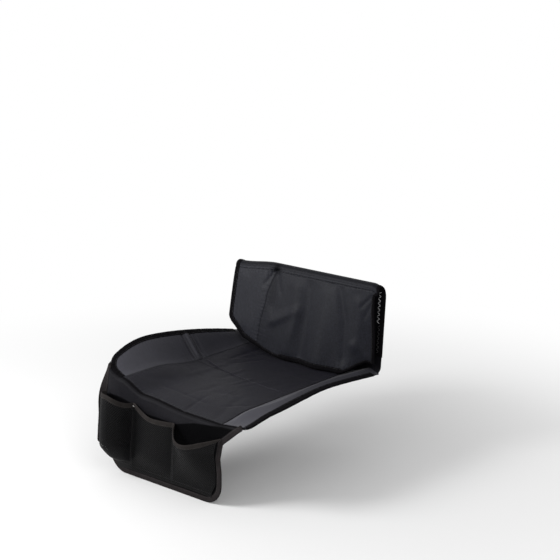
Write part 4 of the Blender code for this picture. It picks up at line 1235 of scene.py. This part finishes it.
REAR_WRINKLES += scattered(seed=29, count=4, box=((-0.18, 0.04), (0.18, 0.16)), long=0.16, width=0.014,
                           height=0.0010, lean=0.3)


def line_at(points, fall):
    """Place x at a given fall of an upright line of (x, fall) points."""
    return np.interp(fall, [point[1] for point in points], [point[0] for point in points])


def upright_fold(x, fall, points, width, height):
    """Soft fold down the cloth: height x exp(-(distance / width)^2), eased in and out at its ends."""
    ends = smooth((fall - points[0][1]) / 0.030 + 0.5) * smooth((points[-1][1] - fall) / 0.030 + 0.5)
    return height * np.exp(-((x - line_at(points, fall)) / width) ** 2) * ends


def back_shape(x, s):
    """Sheet by its length s: quarter bend, rear layer, half-round fold, hanging front layer."""
    seat = SEAT_THICK + seat_height(x, SEAT_BACK + 0 * x)
    foot = SEAT_BACK + GAP
    top = FOLD_TOP - FOLD_DROP * smooth((-x - 0.10) / 0.13) - FOLD_RADIUS
    rear = foot + BACK_BEND + REAR_LEAN
    a = np.clip(s / LENGTH_BEND, 0, 1) * np.pi / 2
    b = np.clip((s - LENGTH_BEND) / LENGTH_REAR, 0, 1)
    c = np.clip((s - LENGTH_BEND - LENGTH_REAR) / LENGTH_FOLD, 0, 1) * np.pi
    d = np.clip((s - FRONT_START) / LENGTH_FRONT, 0, 1)
    near = rear - 2 * FOLD_RADIUS
    side = FRONT_FOOT_SIDE * (smooth((-x - 0.12) / 0.11) + 2.4 * smooth((x - 0.15) / 0.10))
    hang_y = near + (FRONT_FOOT + side - near) * d ** 0.85
    hang_z = top - (top - seat_height(x, 0.2 + 0 * x) - SEAT_THICK - HEM_HEIGHT) * d
    line = -0.100 - 0.022 * d
    valley = SEAM_VALLEY * np.exp(-((x - line) / 0.016) ** 2) * (0.35 + 0.65 * np.exp(-(d / 0.22) ** 2))
    waves = WAVE * np.sin((x - 0.022) * 2 * np.pi / WAVE_PERIOD + 1.5 * d) * smooth((x + 0.06) / 0.1)
    belly = 0.006 * np.sin(np.pi * np.clip((x + 0.1) / 0.3, 0, 1)) * d
    hang_y = hang_y + smooth(d / 0.15) * (valley + waves * (0.4 + 0.6 * d) - belly)
    hang_y = hang_y + valley * (1 - smooth(d / 0.15)) * smooth(d / 0.05)
    part = [s < LENGTH_BEND, s < LENGTH_BEND + LENGTH_REAR, s < FRONT_START]
    y = np.select(part, [foot + BACK_BEND * np.sin(a), foot + BACK_BEND + REAR_LEAN * b,
                         rear - FOLD_RADIUS * (1 - np.cos(c))], hang_y)
    z = np.select(part, [seat + BACK_BEND * (1 - np.cos(a)), seat + BACK_BEND + (top - seat - BACK_BEND) * b,
                         top + FOLD_RADIUS * np.sin(c)], hang_z)
    return np.stack([x, y, z], axis=-1)


def back_face(x, s):
    """Back cloth with its folds, creases, seam and hem grooves and puckers; its right end droops."""
    shape = back_shape(x, s)
    fall = s - FRONT_START
    push = 0 * x
    for points, width, height in BACK_FOLDS:
        push = push + upright_fold(x, fall, points, width, height)
    for start, end, width, height in BACK_CREASES:
        push = push + ridge(x, fall, start, end, width, height)
    push = push * smooth(fall / 0.012)
    beside_seam = x - line_at(BACK_SEAM, fall)
    hanging = smooth((fall + 0.004) / 0.004)
    push = push + 0.0012 * np.exp(-np.abs(beside_seam) / 0.0024) * hanging
    push = push + 0.0012 * np.exp(-((fall - HEM_LINE) / 0.0016) ** 2)
    away = np.hypot((x - DIMPLE[0]) / 0.010, (fall - DIMPLE[1]) / 0.007)
    push = push + 0.0065 * np.exp(-away ** 2) * hanging
    for start, end, width, height in REAR_WRINKLES:
        push = push + ridge(x, s, start, end, width, height)
    push = push + pucker(fall - HEM_LINE, x, 0.010, 0.00035) * hanging
    push = push + pucker(beside_seam, fall, 0.014, 0.00016) * hanging
    push = push + pucker(x - BACK_LEFT - HEM_INSET, s, 0.008, 0.00030) * smooth(fall / 0.02)
    push = push + pucker(fall - LENGTH_FRONT + HEM_INSET, x, 0.009, 0.00040) * smooth(fall / 0.02)
    droop = 0.006 * smooth((x - 0.218) / 0.028) * smooth((shape[..., 2] - 0.185) / 0.045)
    return shape + np.stack([0 * x, push, -droop], axis=-1)


def back_painted_shading(flat):
    """Painted light and shade on the back cloth: brighter left of its seam, painted shade in the seam,
    dimple, hem groove, fold and rear layer.
    """
    x, fall = flat[..., 0], flat[..., 1] - FRONT_START
    beside_seam = x - line_at(BACK_SEAM, fall)
    hanging = smooth((fall + 0.004) / 0.004)
    painted_shading = 1.0 + 0.24 * smooth(-beside_seam / 0.008 + 0.5) * hanging
    # Painted shade in the seam groove and in the hem groove.
    painted_shading = painted_shading * (1.0 - 0.45 * np.exp(-(beside_seam / 0.0022) ** 2) * hanging)
    painted_shading = painted_shading * (1.0 - 0.50 * np.exp(-((fall - HEM_LINE) / 0.0014) ** 2))
    away = np.hypot((x - DIMPLE[0]) / 0.011, (fall + 0.002) / 0.013)
    # Painted shade over the fold and on the rear layer, and a painted shadow band beside the seam's top.
    painted_shading = painted_shading * (1.0 - 0.40 * smooth(-fall / 0.010))
    painted_shading = painted_shading * (1.0 - 0.22 * np.exp(-((x + 0.094) / 0.012) ** 2) * smooth((0.12 - fall) / 0.05) * hanging)
    # Painted shade in the dimple.
    return painted_shading * (1.0 - 0.65 * np.exp(-away ** 2))


# %% Back panel and its tape
FINE_FROM, FINE_TO = 0.245, 0.325
p = np.concatenate([np.linspace(0, FINE_FROM, 50)[:-1], np.linspace(FINE_FROM, FINE_TO, 50)[:-1],
                    np.linspace(FINE_TO, 1, 130)])
steps = [np.linspace(0, LENGTH_BEND, 9)[:-1], LENGTH_BEND + np.linspace(0, LENGTH_REAR, 50)[:-1],
         LENGTH_BEND + LENGTH_REAR + np.linspace(0, LENGTH_FOLD, 20)[:-1],
         FRONT_START + np.linspace(0, 0.012, 14)[:-1], FRONT_START + np.linspace(0.012, LENGTH_FRONT, 106)]
x, s = np.meshgrid(BACK_LEFT + p * (BACK_RIGHT - BACK_LEFT), np.concatenate(steps))
cut = np.clip((s - LENGTH_BACK + BACK_CORNER) / BACK_CORNER, 0, 1)
inset_left = BACK_CORNER * (1 - np.sqrt(1 - (0.9 * cut) ** 2))
x = x + inset_left * np.clip((0.02 - x) / (0.02 - BACK_LEFT), 0, 1) ** 1.5
fall = s - FRONT_START
drawn_in = (0.008 + 0.008 * smooth((0.17 - fall) / 0.17)) * smooth(fall / 0.02)
drawn_in = drawn_in + 0.008 * np.exp(-((fall + LENGTH_FOLD / 2) / 0.018) ** 2)
x = x - drawn_in * smooth((x - 0.10) / 0.14)
near = np.clip((BACK_LEFT + 0.0935 - x) / 0.085, 0, 1)
hung = np.clip(fall / LENGTH_FRONT, 0, 1)
raised = hung ** 2 * 0.016 * smooth((-0.025 - x) / 0.145) + hung * 0.009 * near ** 2
raised = raised + hung ** 3 * 0.014 * smooth((x - 0.165) / 0.06)
back_flat = np.stack([x, s - raised], axis=-1)
back, back_area = cloth("back_cloth", back_flat, back_face, BACK_THICK, [flap_look, back_look],
                        painted_shading=back_painted_shading(back_flat))
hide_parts("back_panel")


def back_tape_width(path):
    """Tape is 13 mm wide at the left, 5.5 mm along the hem and right, 19 mm on the rear layer's right."""
    inside = smooth((path[:, 0] - BACK_LEFT - 0.03) / 0.16)
    behind = smooth(path[:, 0] / 0.02) * smooth((LENGTH_BEND + LENGTH_REAR - path[:, 1]) / 0.02)
    return 0.0130 - 0.0075 * inside + 0.0135 * behind


def back_stitch_depth(path):
    """The stitches run at four fifths of the tape's width."""
    return 0.8 * back_tape_width(path)


edge_path = np.concatenate([back_flat[14:-1, 0], back_flat[-1, :-1], back_flat[::-1, -1][:-14]])
back_tape = folded_tape("back_cloth_tape", back_face, edge_path, edge_look, back_tape_width, BACK_THICK,
                        hand=-1)
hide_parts("back_panel_edge_tape")

# %% Seams of the back cloth
front_edge = edge_path[edge_path[:, 1] > FRONT_START + 0.006]
stitch_line = inset(back_face, front_edge, 1, -1, back_stitch_depth)
back_runs = [seam_run(back_face, stitch_line, BACK_THICK + TAPE_GROOVE, side=-1)]
hem_x = np.array([BACK_LEFT + HEM_INSET, BACK_RIGHT - 0.020])
hem = flat_line(hem_x, FRONT_START + HEM_LINE)
back_runs.append(seam_run(back_face, hem, BACK_THICK + THREAD_RISE, side=-1))
back_thread = stitches("back_stitches", *joined(back_runs), thread_look)
ZIGZAG_PITCH = 0.0054
ZIGZAG_RISE = TAPE_CLEAR + TAPE_THICK + 0.0003


def zigzag_piece(name, look, inside_edge, from_length, to_length, swing, length, radius):
    """Zigzag thread down the rear layer's right edge, between two lengths of the sheet."""
    s = LENGTH_BEND + np.array([from_length, to_length])
    edge = flat_line(BACK_RIGHT - inside_edge, s)
    run = seam_run(back_face, edge, ZIGZAG_RISE, ZIGZAG_PITCH, zigzag=swing)
    return stitches(name, *run, look, length, radius)


zigzag = zigzag_piece("rear_zigzag", pale_thread_look, inside_edge=0.0150, from_length=LENGTH_REAR - 0.008,
                      to_length=0.110, swing=0.0045, length=0.0096, radius=0.0008)
lower_zigzag = zigzag_piece("rear_zigzag_lower", thread_look, inside_edge=0.0120, from_length=0.106,
                            to_length=0.030, swing=0.0040, length=0.0086, radius=0.0007)
print("stitches on the back:", sum(len(run[0]) for run in back_runs))
